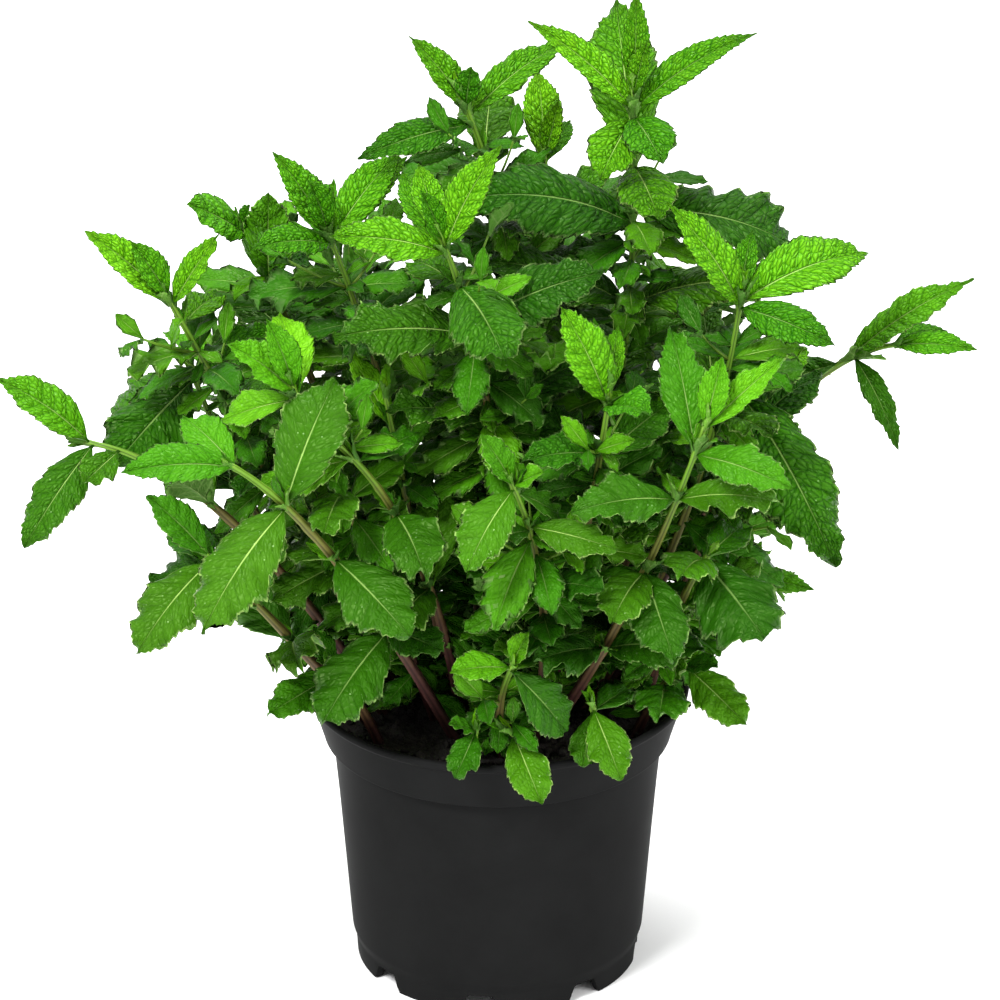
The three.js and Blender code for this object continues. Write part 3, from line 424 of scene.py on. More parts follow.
# Each leafy stem: its name, its foot, a point half way, its growing tip, the turn of its youngest pair of
# leaves, which pairs grow by rule, how long a grown leaf is, and the leaves that show from the front: how
# far below the tip each grows, how far it reaches to the right and up as seen from there, its length,
# its width to its length, and whether it leans to the front (1) or back (-1).
SHOOT_WORDS = ("name", "root", "via", "tip", "turn", "pairs", "leaf", "leaves")
SHOOTS = [
    ("crown", (10, 6), (44, 8, 220), (51, 8, 362), 0, (4, 7), 62, [
        (29, -9, 61, 67, 0.42, -1), (1, 3, 38, 40, 0.28, 1), (3, 6, 22, 25, 0.36, 1),
        (9, -41, 31, 55, 0.28, 1), (9, 46, 29, 57, 0.26, 1), (12, -14, -24, 35, 0.6, 1),
        (12, 13, -25, 35, 0.6, 1), (32, 8, -22, 42, 0.56, 1), (38, -14, -12, 34, 0.6, -1),
        (56, -69, 9, 78, 0.42, 1), (50, 66, -14, 74, 0.42, -1),
    ]),
    ("crown_left", (-4, 14), (8, 20, 246), (-14, 12, 358), 40, (3, 6), 46, [
        (8, -21, 29, 38, 0.34, 1), (10, 37, 31, 53, 0.28, -1), (6, 2, 15, 18, 0.6, 1),
        (8, 6, 12, 15, 0.6, -1), (14, -42, -16, 50, 0.33, 1), (28, 3, 26, 44, 0.56, -1),
        (30, -14, 2, 36, 0.5, 1),
    ]),
    ("centre_left", (2, -8), (-2, -26, 233), (-22, -44, 326), 20, (4, 6), 48, [
        (9, 19, 39, 47, 0.36, 1), (6, -9, 21, 25, 0.4, 1), (4, -10, 28, 32, 0.4, -1),
        (12, -44, 5, 50, 0.4, 1), (9, -18, 29, 42, 0.38, -1), (27, 19, -28, 50, 0.6, 1),
        (26, -18, 9, 36, 0.5, -1), (50, -51, -4, 60, 0.44, 1), (46, 50, 18, 58, 0.44, 1),
    ]),
    ("right_upper", (34, -4), (72, -18, 198), (92, -24, 294), 20, (3, 6), 50, [
        (8, -32, 39, 55, 0.34, 1), (4, 3, 26, 29, 0.36, -1), (4, -12, 10, 20, 0.4, 1),
        (6, 50, 21, 60, 0.44, -1), (8, 33, -17, 45, 0.42, 1),
    ]),
    ("far_right", (44, 20), (102, 38, 205), (153, 24, 250), 80, (4, 5), 48, [
        (21, 48, 28, 60, 0.26, 1), (2, 33, -2, 36, 0.34, 1), (2, 23, 6, 28, 0.36, -1),
        (19, 18, -36, 44, 0.24, 1), (25, -32, -14, 42, 0.46, -1),
    ]),
    ("far_left", (-44, -8), (-102, -34, 203), (-156, -36, 236), 0, (3, 5), 46, [
        (2, -34, 26, 46, 0.4, 1), (4, -24, -40, 50, 0.38, 1), (14, -12, -13, 24, 0.6, 1),
    ]),
    ("left_upper", (-36, 4), (-86, -10, 208), (-125, -22, 292), 45, (3, 6), 44, [
        (6, -33, 25, 45, 0.38, 1), (4, -15, 23, 30, 0.44, 1), (2, -7, 18, 24, 0.4, -1),
        (7, 20, 25, 36, 0.34, 1), (16, 12, 12, 34, 0.44, -1),
    ]),
    ("left_front", (-16, -31), (-60, -70, 202), (-98, -94, 253), 0, (4, 4), 50, [
        (2, -41, -2, 46, 0.42, 1), (3, -20, 20, 34, 0.5, -1), (32, -32, -46, 60, 0.46, 1),
        (31, 14, 36, 52, 0.52, -1), (66, 27, -30, 48, 0.56, 1), (68, -18, 6, 36, 0.5, -1),
        (112, -25, -35, 50, 0.52, 1), (112, 20, -8, 36, 0.5, 1),
    ]),
    ("right_front", (18, -28), (50, -58, 180), (77, -72, 259), 0, (5, 5), 50, [
        (1, 8, 26, 29, 0.44, 1), (12, -9, 47, 52, 0.36, -1), (2, 30, 24, 41, 0.32, 1),
        (13, 35, -14, 46, 0.42, 1), (34, -40, -4, 48, 0.44, 1), (34, 40, 1, 46, 0.38, 1),
        (69, 8, -34, 46, 0.5, 1), (70, -14, -18, 40, 0.52, 1), (112, 38, 0, 46, 0.5, 1),
        (112, -24, -4, 40, 0.5, 1),
    ]),
    ("centre_right", (18, -14), (33, -40, 197), (42, -57, 268), 30, (3, 6), 44, [
        (8, -20, 37, 46, 0.44, 1), (3, -7, 27, 30, 0.32, 1), (4, 3, 27, 30, 0.32, -1),
        (10, 17, -2, 36, 0.5, 1), (34, 22, 16, 38, 0.5, -1), (32, -30, -2, 40, 0.44, 1),
    ]),
    ("front_centre", (14, -34), (17, -64, 183), (5, -84, 242), 45, (3, 5), 40, [
        (3, -12, 20, 27, 0.46, 1), (3, 11, 5, 17, 0.6, 1), (4, -20, -30, 41, 0.5, 1),
        (6, 17, -10, 30, 0.44, -1), (24, 32, -10, 38, 0.42, 1), (26, -12, -3, 22, 0.5, 1),
    ]),
    ("upper_left", (-18, 8), (-41, 0, 229), (-65, -12, 315), 10, (3, 6), 46, [
        (6, -21, 32, 41, 0.36, 1), (3, -7, 21, 26, 0.5, 1), (8, -11, 26, 36, 0.4, -1),
        (8, 20, 28, 44, 0.4, 1), (10, -30, -2, 42, 0.4, 1), (6, 29, 31, 46, 0.36, -1),
    ]),
    ("left_middle", (-24, -14), (-51, -44, 199), (-77, -65, 274), 30, (3, 5), 44, [
        (7, -25, 20, 37, 0.48, 1), (4, -8, 27, 32, 0.42, 1), (8, -5, 32, 38, 0.5, -1),
        (9, -23, -6, 37, 0.46, 1),
    ]),
    ("left_arch", (-14, -12), (-32, -52, 200), (-63, -68, 253), 70, (4, 6), 40, [
        (16, 24, 10, 34, 0.4, -1), (14, -26, -9, 38, 0.5, 1), (46, 13, -22, 42, 0.6, 1),
        (44, -12, 4, 30, 0.5, -1),
    ]),
    ("far_left_upper", (-30, 22), (-68, 26, 224), (-98, 24, 300), 30, (3, 6), 44, [
        (6, -22, 10, 36, 0.6, 1), (3, 3, 9, 16, 0.5, 1), (26, 3, 37, 44, 0.5, 1),
        (12, 24, -8, 38, 0.46, -1),
    ]),
    ("left_low", (-48, -20), (-82, -46, 162), (-110, -58, 200), 20, (2, 4), 44, [
        (2, -23, 23, 36, 0.46, 1), (4, -29, -34, 47, 0.5, 1), (6, -16, 12, 34, 0.5, -1),
    ]),
    ("left_round", (-50, 6), (-90, 2, 182), (-117, -2, 252), 60, (3, 5), 48, [
        (5, -27, -35, 48, 0.68, 1), (4, -32, -24, 46, 0.7, -1), (8, 22, 16, 40, 0.5, 1),
    ]),
    ("right_big", (52, -2), (82, -6, 191), (94, -4, 249), 40, (2, 4), 54, [
        (8, 32, -66, 82, 0.38, 1), (3, 26, 13, 36, 0.5, -1), (12, -30, 12, 44, 0.46, -1),
    ]),
    ("upright_sprig", (8, 24), (17, 36, 212), (18, 36, 324), 10, (2, 5), 42, [
        (5, -1, 38, 41, 0.4, -1), (2, 7, 22, 26, 0.36, 1), (4, 10, 18, 28, 0.36, -1),
    ]),
    ("front_low", (2, -44), (1, -60, 136), (6, -80, 164), 0, (3, 3), 36, [
        (3, -24, 0, 29, 0.5, 1), (2, 6, 14, 20, 0.5, 1), (5, 18, -20, 38, 0.62, 1),
        (6, 14, 8, 24, 0.5, -1),
    ]),
    ("rim_front", (14, -54), (10, -67, 124), (5, -72, 132), 0, (2, 2), 30, [
        (1, 10, -27, 33, 0.52, 1), (3, 12, 7, 20, 0.5, -1),
    ]),
    ("rim_front_left", (-10, -52), (-9, -64, 123), (-8, -70, 132), 0, (2, 2), 30, [
        (1, -7, -18, 24, 0.56, 1), (2, -10, 3, 18, 0.5, 1),
    ]),
    ("rim_front_right", (36, -42), (37, -54, 126), (36, -60, 137), 0, (2, 2), 30, [
        (2, 10, -27, 33, 0.52, 1), (3, -3, -17, 23, 0.6, 1), (4, 14, 8, 26, 0.5, -1),
    ]),
    ("rim_right", (54, -24), (64, -30, 130), (74, -36, 142), 0, (2, 2), 34, [
        (2, 21, -23, 36, 0.52, 1), (4, 14, 2, 22, 0.5, 1), (16, -4, -20, 32, 0.72, 1),
        (14, 8, 12, 26, 0.6, -1),
    ]),
    ("rim_left", (-46, -32), (-55, -40, 131), (-63, -47, 146), 0, (2, 2), 34, [
        (4, -25, -17, 35, 0.5, 1), (6, 14, -10, 28, 0.56, 1), (3, -8, 14, 20, 0.5, -1),
    ]),
    ("right_low", (56, -10), (68, -34, 162), (80, -46, 194), 60, (2, 4), 44, [
        (4, 20, -30, 46, 0.74, 1), (4, -20, -10, 38, 0.6, 1), (3, 16, 12, 32, 0.5, -1),
    ]),
    ("right_trailing", (54, 22), (80, 40, 139), (110, 50, 135), 60, (3, 3), 28, [
        (18, 30, -8, 34, 0.34, 1), (20, 14, 12, 22, 0.36, -1), (8, 10, 0, 18, 0.4, 1),
        (8, -10, -2, 18, 0.4, -1), (1, -14, 8, 20, 0.4, 1), (0, 8, 5, 12, 0.4, 1),
    ]),
    ("back_right", (30, 20), (62, 44, 196), (82, 56, 278), 15, (0, 5), 46, []),
    ("back_left", (-22, 34), (-48, 58, 196), (-64, 74, 282), 50, (0, 5), 46, []),
    ("back_centre", (4, 42), (8, 72, 196), (12, 90, 274), 20, (0, 5), 46, []),
    ("back_far_left", (-42, 30), (-82, 56, 174), (-112, 72, 228), 40, (0, 4), 44, []),
    ("back_far_right", (46, 26), (80, 54, 172), (104, 72, 216), 75, (0, 4), 44, []),
    ("back_low_left", (-30, 48), (-48, 76, 156), (-58, 100, 192), 25, (0, 3), 42, []),
    ("back_low_right", (26, 46), (44, 76, 156), (54, 102, 196), 60, (0, 3), 42, []),
    ("inner_left", (-14, -4), (-30, -20, 182), (-42, -30, 252), 45, (0, 5), 42, []),
    ("inner_right", (30, 6), (52, -8, 182), (60, -26, 242), 55, (0, 5), 42, []),
    ("inner_centre", (-6, 4), (-10, 6, 186), (-16, -2, 258), 10, (1, 6), 44, []),
]
SHOOTS = [dict(zip(SHOOT_WORDS, row)) for row in SHOOTS]


def unit(vector):
    """A vector of the same direction, one long."""
    return vector / math.sqrt(vector @ vector)


def stem_curve(shoot, bend):
    """A parabola from the root to the tip that passes the middle point, moved by a bend, half way. Places
    along it go by length: the lengths of 200 equal steps of its parameter turn one into the other."""
    root = np.array([*shoot["root"], SOIL_LEVEL], float)
    tip = np.array(shoot["tip"], float)
    control = 2 * (np.array(shoot["via"], float) + bend) - 0.5 * root - 0.5 * tip

    def point(t):
        t = np.asarray(t, float)[..., None]
        return (1 - t) ** 2 * root + 2 * (1 - t) * t * control + t * t * tip

    steps = np.linspace(0, 1, 201)
    lengths = np.concatenate([[0], np.cumsum(np.linalg.norm(np.diff(point(steps), axis=0), axis=1))])

    def parameter(share):
        return np.interp(np.asarray(share) * lengths[-1], lengths, steps)

    def way(t):
        return unit(point(min(t + 1e-4, 1)) - point(max(t - 1e-4, 0)))

    return {"point": point, "parameter": parameter, "way": way, "length": lengths[-1]}


def across_stem(along):
    """The directions across a stem: one nearest to the right, and one square to it and to the stem."""
    side = unit(np.array([1.0, 0, 0]) - along[0] * along)
    return side, np.cross(along, side)


def outward(around, side, back):
    """The direction across a stem that is turned by an angle from its first one."""
    return math.cos(around) * side + math.sin(around) * back


def cloud_of(points, owner, leaf):
    """Points that stand for a stem or a leaf, with whose they are and a ball that holds them."""
    centre = points.mean(axis=0)
    reach = np.linalg.norm(points - centre, axis=1).max()
    return {"points": points, "owner": owner, "leaf": leaf, "centre": centre, "reach": reach}


def clouds_touch(a, b, gap):
    """Whether any point of one cloud is nearer than a gap to any point of another."""
    apart = a["centre"] - b["centre"]
    if math.sqrt(apart @ apart) > a["reach"] + b["reach"] + gap:
        return False
    near = a["points"][np.linalg.norm(a["points"] - b["centre"], axis=1) < b["reach"] + gap]
    if not len(near):
        return False
    return ((near[:, None] - b["points"][None]) ** 2).sum(axis=2).min() < gap * gap


def settled_stems():
    """Each stem as listed, or bowed in steps of 3 mm until it clears those before it."""
    stems = []
    for shoot in SHOOTS:
        bends = [(ring, step) for ring in range(9) for step in range(8 if ring else 1)]
        for ring, step in bends:
            angle = math.radians(45 * step)
            curve = stem_curve(shoot, 3 * ring * np.array([math.cos(angle), math.sin(angle), 0]))
            middle = curve["point"](curve["parameter"](np.linspace(0, 1, 61)))
            cloud = cloud_of(middle, shoot["name"], False)
            if not any(clouds_touch(cloud, other["cloud"], STEM_CLEARANCE) for other in stems):
                stem = {"name": shoot["name"], "shoot": shoot, "curve": curve, "cloud": cloud}
                stems.append({**stem, "leaves": [], "small_leaves": [], "stalks": []})
                break
    return stems


def blade_place(leaf, share, side, lift):
    """Places on a leaf. The midrib is an arc that bends away from the upper face; both halves of the blade
    fold up from it; a lift is square to the blade where it is."""
    turned = leaf["arch"] * share
    reach = leaf["length"] * np.sin(turned) / leaf["arch"]
    drop = leaf["length"] * (1 - np.cos(turned)) / leaf["arch"]
    up = np.cos(turned)[..., None] * leaf["normal"] + np.sin(turned)[..., None] * leaf["along"]
    return (
        leaf["base"]
        + reach[..., None] * leaf["along"]
        - drop[..., None] * leaf["normal"]
        + (side * math.cos(BLADE_FOLD))[..., None] * leaf["across"]
        + (np.abs(side) * math.sin(BLADE_FOLD) + lift)[..., None] * up
    )


def blade_samples(leaf, step=SAMPLE_STEP):
    """Points spread over a blade, which stand for it where clearances are measured."""
    half = leaf["length"] * leaf["width"] / 2
    rows = max(3, math.ceil(0.8 * leaf["length"] / step))
    columns = max(1, math.ceil(half / step))
    share = 0.2 + 0.8 * np.arange(rows + 1) / rows
    within = np.minimum(share, 0.995)
    out = half * (within / 0.42) ** 0.6 * ((1 - within) / 0.58) ** 0.83
    share, place = np.meshgrid(share, np.arange(-columns, columns + 1) / columns, indexing="ij")
    return blade_place(leaf, share, out[:, None] * place, 0 * share).reshape(-1, 3)


def arched_leaf(base, chord, facing, length, width, down):
    """A leaf with a given chord and facing: it leaves the stem steeper than its chord and arches over."""
    arch = math.radians(6 + ARCH_PER_MM * length)
    normal = unit(facing - (facing @ chord) * chord)
    along = math.cos(arch / 2) * chord + math.sin(arch / 2) * normal
    upper = math.cos(arch / 2) * normal - math.sin(arch / 2) * chord
    return {
        "base": base, "along": along, "normal": upper, "across": np.cross(along, upper),
        "length": length, "width": width, "arch": arch, "down": down,
    }


def grown_leaf(stem, age, turn, draw, nudge):
    """One leaf of a pair as it would grow if nothing were in its way, then bent by a nudge."""
    turn_by, spread_by, size = nudge
    shoot, curve = stem["shoot"], stem["curve"]
    down = FIRST_PAIR_DOWN + PAIR_SPACING * age + PAIR_SPACING_GROWTH * age * age
    t = float(curve["parameter"](1 - down / curve["length"]))
    way = curve["way"](t)
    side, back = across_stem(way)
    around = math.radians(turn + 14 * (draw[0] - 0.5) + turn_by)
    out = outward(around, side, back)
    spread = math.radians(SPREAD_BY_AGE[age] * (0.9 + 0.2 * draw[1]) + spread_by)
    chord = math.cos(spread) * way + math.sin(spread) * out
    facing = math.sin(spread) * way - math.cos(spread) * out
    light = TURN_TO_LIGHT_BY_AGE[age]
    facing = (1 - light) * facing + light * LIGHT
    length = shoot["leaf"] * LENGTH_BY_AGE[age] * (0.92 + 0.16 * draw[2]) * size
    return arched_leaf(curve["point"](t), chord, facing, length, WIDTH_BY_AGE[age], down)


def measured_leaf(stem, measures, nudge):
    """One of the leaves that show from the front, with its lean towards or away from there nudged."""
    down, right, up, length, width, lean = measures
    depth, size = nudge
    curve, size = stem["curve"], length * size
    arch = math.radians(6 + ARCH_PER_MM * size)
    chord_length = size * math.sin(arch / 2) / (arch / 2)
    hidden = chord_length**2 - right**2 - up**2
    toward = lean * math.sqrt(max(hidden, 0)) + depth
    rise = math.radians(VIEW_RISE)
    back = up * math.sin(rise) - toward * math.cos(rise)
    high = up * math.cos(rise) + toward * math.sin(rise)
    chord = unit(np.array([right, back, high]))
    t = float(curve["parameter"](1 - down / curve["length"]))
    return arched_leaf(curve["point"](t), chord, LIGHT, size, width, down)


def in_pot(points):
    """Whether any point is in, or too near to, the pot or the soil."""
    r = np.hypot(points[:, 0], points[:, 1])
    over = (points[:, 2] > POT_HEIGHT + POT_CLEARANCE) | (r > RIM_RADIUS + POT_CLEARANCE)
    inside = r < BAND_FOOT_RADIUS - WALL_THICKNESS - POT_CLEARANCE
    above = inside & (points[:, 2] > SOIL_LEVEL + SOIL_HEAP + POT_CLEARANCE)
    return not (over | above).all()


# What a leaf tries in turn to clear its neighbours: a grown one is turned, spread and made smaller, and a
# measured one is tilted to the front or back and made smaller.
grown_nudges = [(0, 0, 1)]
for nudge_step, nudge_size in [(12, 1), (24, 0.92), (36, 0.82), (18, 0.66)]:
    for nudge_way in range(8):
        nudge_angle = math.radians(45 * nudge_way)
        grown_nudges.append(
            (nudge_step * math.cos(nudge_angle), -nudge_step * math.sin(nudge_angle), nudge_size)
        )
NUDGE_DEPTHS = (0, 5, -5, 10, -10, 16, -16, 23, -23, 31, -31)
measured_nudges = [(depth, size) for size in (1, 0.9, 0.8, 0.7) for depth in NUDGE_DEPTHS]


def settle_leaves(stems):
    """Sets out the measured leaves of all the stems, and then the ones that grow by rule, each at the first
    nudge that clears all that is there."""
    state = SEED
    clouds = [stem["cloud"] for stem in stems]

    def place(stem, nudges, leaf_for):
        name = stem["name"]
        for nudge in nudges:
            leaf = leaf_for(nudge)
            cloud = cloud_of(blade_samples(leaf), name, True)
            if in_pot(cloud["points"]):
                continue
            for other in clouds:
                if other["owner"] != name:
                    gap = LEAF_CLEARANCE if other["leaf"] else LEAF_TO_STEM
                else:
                    gap = OWN_CLEARANCE if other["leaf"] else 0
                if gap and clouds_touch(cloud, other, gap):
                    break
            else:
                clouds.append(cloud)
                stem["leaves"].append(leaf)
                return

    for stem in stems:
        for measures in stem["shoot"]["leaves"]:
            place(stem, measured_nudges, lambda nudge: measured_leaf(stem, measures, nudge))
    for stem in stems:
        first, last = stem["shoot"]["pairs"]
        for age in range(first, last):
            for half in (0, 180):
                draw = []
                for _ in range(3):
                    state = (state * 1664525 + 1013904223) % 4294967296
                    draw.append(state / 4294967296)
                turn = stem["shoot"]["turn"] + 90 * age + half
                place(stem, grown_nudges, lambda nudge: grown_leaf(stem, age, turn, draw, nudge))


stems = settled_stems()
settle_leaves(stems)


# How much greener (or browner) than the others at the same height these stems look in the photo.
FRESH_STEMS = {"crown": 0.3, "centre_left": -0.05, "right_upper": 0.15}


def stem_surface(stem):
    """A rounded square carried up the stem: corners at the full radius, faces at three quarters of it, the
    radius falling evenly from root to tip and swelling a little at each pair of leaves."""
    curve = stem["curve"]
    t = np.linspace(0, 1, max(12, int(curve["length"] / 4)))
    middle = curve["point"](t)
    way = np.array([curve["way"](v) for v in t])
    foot = middle[0] - way[0] * STEM_BURIED / way[0, 2]
    middle, way, t = np.vstack([foot, middle]), np.vstack([way[:1], way]), np.concatenate([[0], t])
    radius = STEM_ROOT_RADIUS + t * (STEM_TIP_RADIUS - STEM_ROOT_RADIUS)
    below_tip = (1 - t) * curve["length"]
    for down in {leaf["down"] for leaf in stem["leaves"]}:
        radius = radius * (1 + JOINT_SWELL * np.exp(-(((below_tip - down) / JOINT_REACH) ** 2)))
    return square_rod(middle, way, radius, t, 16, FRESH_STEMS.get(stem["name"], 0))


def square_rod(middle, way, radius, t, sides, fresh=0.0):
    """A rounded square section carried along a line: at an angle a it reaches 0.86 - 0.12 cos 4a of the
    radius. It is closed by a point at each end. Fresh is how much greener it is than others are there."""
    side = way * -way[:, :1]
    side[:, 0] += 1
    side /= np.linalg.norm(side, axis=1, keepdims=True)
    back = np.cross(way, side)
    around = np.arange(sides) * 2 * math.pi / sides
    section = 0.86 - 0.12 * np.cos(4 * around)
    ring = np.cos(around)[:, None] * side[:, None] + np.sin(around)[:, None] * back[:, None]
    points = middle[:, None] + ring * (radius[:, None] * section)[..., None]
    rows, count = len(t), len(t) * sides
    across = np.repeat(np.abs(np.arange(sides) * 2 / sides - 1)[None], rows, axis=0)
    uv = np.stack([across, np.repeat(t[:, None], sides, axis=1)], axis=-1)
    return {
        "points": np.vstack([points.reshape(-1, 3), middle[:1], middle[-1:] + way[-1:] * 0.5]),
        "quads": ring_quads(rows, sides),
        "fans": end_fans(rows, sides, count, count + 1),
        "uv": np.vstack([uv.reshape(-1, 2), [[0.5, 0], [0.5, 1]]]),
        "along": np.concatenate([np.repeat(t, sides), [t[0], t[-1]]]) + fresh,
        "skin": np.full((rows - 1) * sides + 2 * sides, 2),
        "youth": 0.5,
        "shade": 0.5,
        "quilt": 0.0,
    }


def blended(node, kind, factor, first, second):
    """Two colours blended. In a Mix node they go in at sockets 6 and 7, and come out at 2."""
    return node("Mix", 2, {0: factor, 6: first, 7: second}, data_type="RGBA", blend_type=kind)


# Square stems: brown-purple and woody below, through olive to the pale green of the growing tip, with
# painted shade darkening the groove down the middle of each face.
STEM_TONES = [
    (0.1, (0.022, 0.009, 0.008)),
    (0.3, (0.062, 0.022, 0.019)),
    (0.45, (0.100, 0.055, 0.024)),
    (0.62, (0.135, 0.105, 0.030)),
    (0.85, (0.130, 0.150, 0.022)),
    (0.97, (0.115, 0.240, 0.016)),
]
stem_skin, node, finish = material("mint_stem")
place = node("TexCoord", "Object")
height = node("Attribute", "Fac", attribute_name="along")
surface = node("UVMap", "UV", uv_map="surface")
mottle = node("TexNoise", "Fac", {"Vector": place, "Scale": 260.0, "Detail": 4.0, "Roughness": 0.65})
shift = node("Math", "Value", {0: mottle, 1: 0.3, 2: height}, operation="MULTIPLY_ADD")
tint = ramp(node, shift, STEM_TONES)
turn_about = node("SeparateXYZ", "X", {"Vector": surface})
faces_of = node("Math", "Value", {0: turn_about, 1: 0.25}, operation="PINGPONG")
# Painted shade: the colour is darkened to about a third down the middle of each face, in its groove.
groove = node("MapRange", "Result", {"Value": faces_of, "From Max": 0.11, "To Min": 0.32, "To Max": 1.0})
finish(
    {
        "Base Color": blended(node, "MULTIPLY", 1.0, tint, groove),
        "Roughness": node("MapRange", "Result", {"Value": mottle, "To Min": 0.42, "To Max": 0.62}),
        "Normal": node("Bump", "Normal", {"Height": mottle, "Strength": 0.35, "Distance": 0.0004}),
        "Specular IOR Level": 0.25,
    }
)


# ---------------------------------------------------------------- the leaves
# Mint leaves stand in opposite pairs, each pair a quarter turn from the last. A blade is pointed, cut
# into small forward teeth, quilted between its sunken side veins, and pale beneath. Young ones are
# yellow-green and folded, old ones dark, blunt and crimped along their margins.

TOOTH_PITCH = 3.6
TEETH_TO_VEINS = 1.7
STALK_LENGTH = 3.0
STALK_HALF_WIDTH = 0.7
LEAST_HALF_WIDTH = 0.05
WIDEST_AT = 0.28
LOBE_SHARE = 0.045
VEINS_LEAN = 0.70
SLOW_WAVE, QUICK_CRIMP = 0.30, 0.19
MIDRIB_GROOVE, MIDRIB_RIDGE = 0.35, 0.5
# How finely a leaf is made: most teeth along an edge, points between teeth, lines across half the blade,
# and how deep the teeth are.
FINE = (18, [0.0, 0.42, 0.8], [0.06, 0.18, 0.34, 0.52, 0.7, 0.87], 0.9)
PLAIN = (9, [0.0, 0.8], [0.12, 0.58], 0.75)
TINY = (3, [0.0, 0.78], [0.5], 0.75)


def blade_surface(leaf, detail):
    """A leaf as a flat loop carried from its base to its point. The loop crosses the upper face from
    margin to margin and comes back beneath. Half width: a power of the share of the length, times a power
    of what is left, times slow lobes on an older leaf, plus a saw of uneven forward teeth. Rows bend
    forward towards the margin as side veins do. Lift: a gull's-wing fold that droops outwards, less a
    groove on the midrib, plus a pillow between each two side veins, a slow wave along each margin and a
    quick crimp at its edge. Beneath, the midrib stands out."""
    look, youth = leaf["look"], leaf["youth"]
    length, half = leaf["length"], leaf["length"] * leaf["width"] / 2
    most, phases, half_across, tooth_depth = detail
    teeth = int(np.clip(round(length / TOOTH_PITCH), min(5, most), most))
    veins = teeth / TEETH_TO_VEINS
    body = ((np.arange(teeth)[:, None] + np.array(phases)) / teeth).ravel()[1:]
    stalk = min(STALK_LENGTH / length, 0.12)
    share = np.concatenate([[0.35 * stalk, 0.8 * stalk], stalk + (1 - stalk) * body])
    body = np.concatenate([[0.0, 0.0], body])
    across = np.concatenate([[-1], -np.array(half_across)[::-1], [0], half_across, [1]])
    loop = np.concatenate([across, across[-2:0:-1]])
    upper = np.concatenate([np.ones(len(across)), -np.ones(len(loop) - len(across))])

    b, t = np.meshgrid(body, loop, indexing="ij")
    s = np.repeat(share[:, None], len(loop), axis=1)
    far = np.abs(t)
    saw_phase = (b * teeth) % 1.0
    saw = np.where(saw_phase < 0.8, saw_phase / 0.8, (1 - saw_phase) / 0.2)
    uneven = 1 + 0.45 * np.sin(7.9 * np.floor(b * teeth) + 5 * look["start"] + 2 * np.sign(t))
    outline = half * (b / WIDEST_AT) ** 0.52 * ((1 - b) / (1 - WIDEST_AT)) ** (0.98 + 0.24 * youth)
    lobes = np.sin(2 * math.pi * (0.31 * teeth * b + look["start"]) + 2 * np.sign(t))
    lobes += 0.6 * np.sin(2 * math.pi * (0.13 * teeth * b + 1.7 * look["start"]) - 3 * np.sign(t))
    outline *= 1 + LOBE_SHARE * (1 - youth) * lobes
    depth = (0.04 * half + 0.38) * tooth_depth * uneven
    depth *= np.clip(b * 9, 0, 1) * np.clip((1 - b) * 7, 0, 1)
    width = np.maximum(outline + depth * (saw - 0.5), STALK_HALF_WIDTH * np.clip((0.4 - b) * 9, 0, 1))
    width = np.maximum(width, LEAST_HALF_WIDTH)
    s = np.minimum(s + (VEINS_LEAN * outline * far**1.15 + 0.3 * depth * saw * far**4) / length, 1.0)

    fold = math.radians(look["fold"])
    side = t * width * math.cos(fold) + look["bend"] * length * b**2
    pillow = np.abs(np.sin(math.pi * b * veins)) ** 0.7 * np.sin(math.pi * np.minimum(far * 1.04, 1)) ** 0.6
    wave = np.sin(2 * math.pi * (look["waves"] * b + look["start"] + 0.37 * (t > 0)))
    crimp = np.sin(2 * math.pi * (1.3 * veins * b * 0.5 + 2.3 * look["start"] + 0.6 * (t > 0)))
    at_margin = SLOW_WAVE * wave * far**2.2 + QUICK_CRIMP * crimp * far**4
    lift = (
        far * width * math.sin(fold)
        - 0.026 * (t * width) ** 2 * (1 + look["droop"])
        + look["quilt"] * (0.55 + 0.45 * look["relief"]) * min(0.9, 0.08 * half) * pillow
        + look["wave"] * half * at_margin * np.clip(b * 4, 0, 1)
        - MIDRIB_GROOVE * np.exp(-((t / 0.07) ** 2)) * (1 - 0.6 * b)
    )
    thick = np.sqrt(np.maximum(1 - t**2, 0)) * (0.17 + 0.45 * np.clip(1 - b * 9, 0, 1))
    rib = np.where(upper < 0, MIDRIB_RIDGE * np.exp(-((t / 0.09) ** 2)) * (1 - 0.75 * b), 0)
    place = blade_place(leaf, s, side, lift + upper * thick - rib)

    rows, ring = place.shape[:2]
    count = rows * ring
    ends = blade_place(leaf, np.array([0.0, 1.0]), np.array([0.0, look["bend"] * length]), np.zeros(2))
    uv = np.stack([0.5 + 0.5 * t, b * veins], axis=-1).reshape(-1, 2)
    beneath = np.arange(ring) >= len(across) - 1
    return {
        "points": np.vstack([place.reshape(-1, 3), ends]),
        "quads": ring_quads(rows, ring),
        "fans": end_fans(rows, ring, count, count + 1),
        "uv": np.vstack([uv, [[0.5, 0], [0.5, veins]]]),
        "along": np.concatenate([b.ravel(), [0, 1]]),
        "skin": np.tile(beneath, rows + 1).astype(int),
        "youth": youth,
        "shade": look["shade"],
        "quilt": look["relief"],
    }


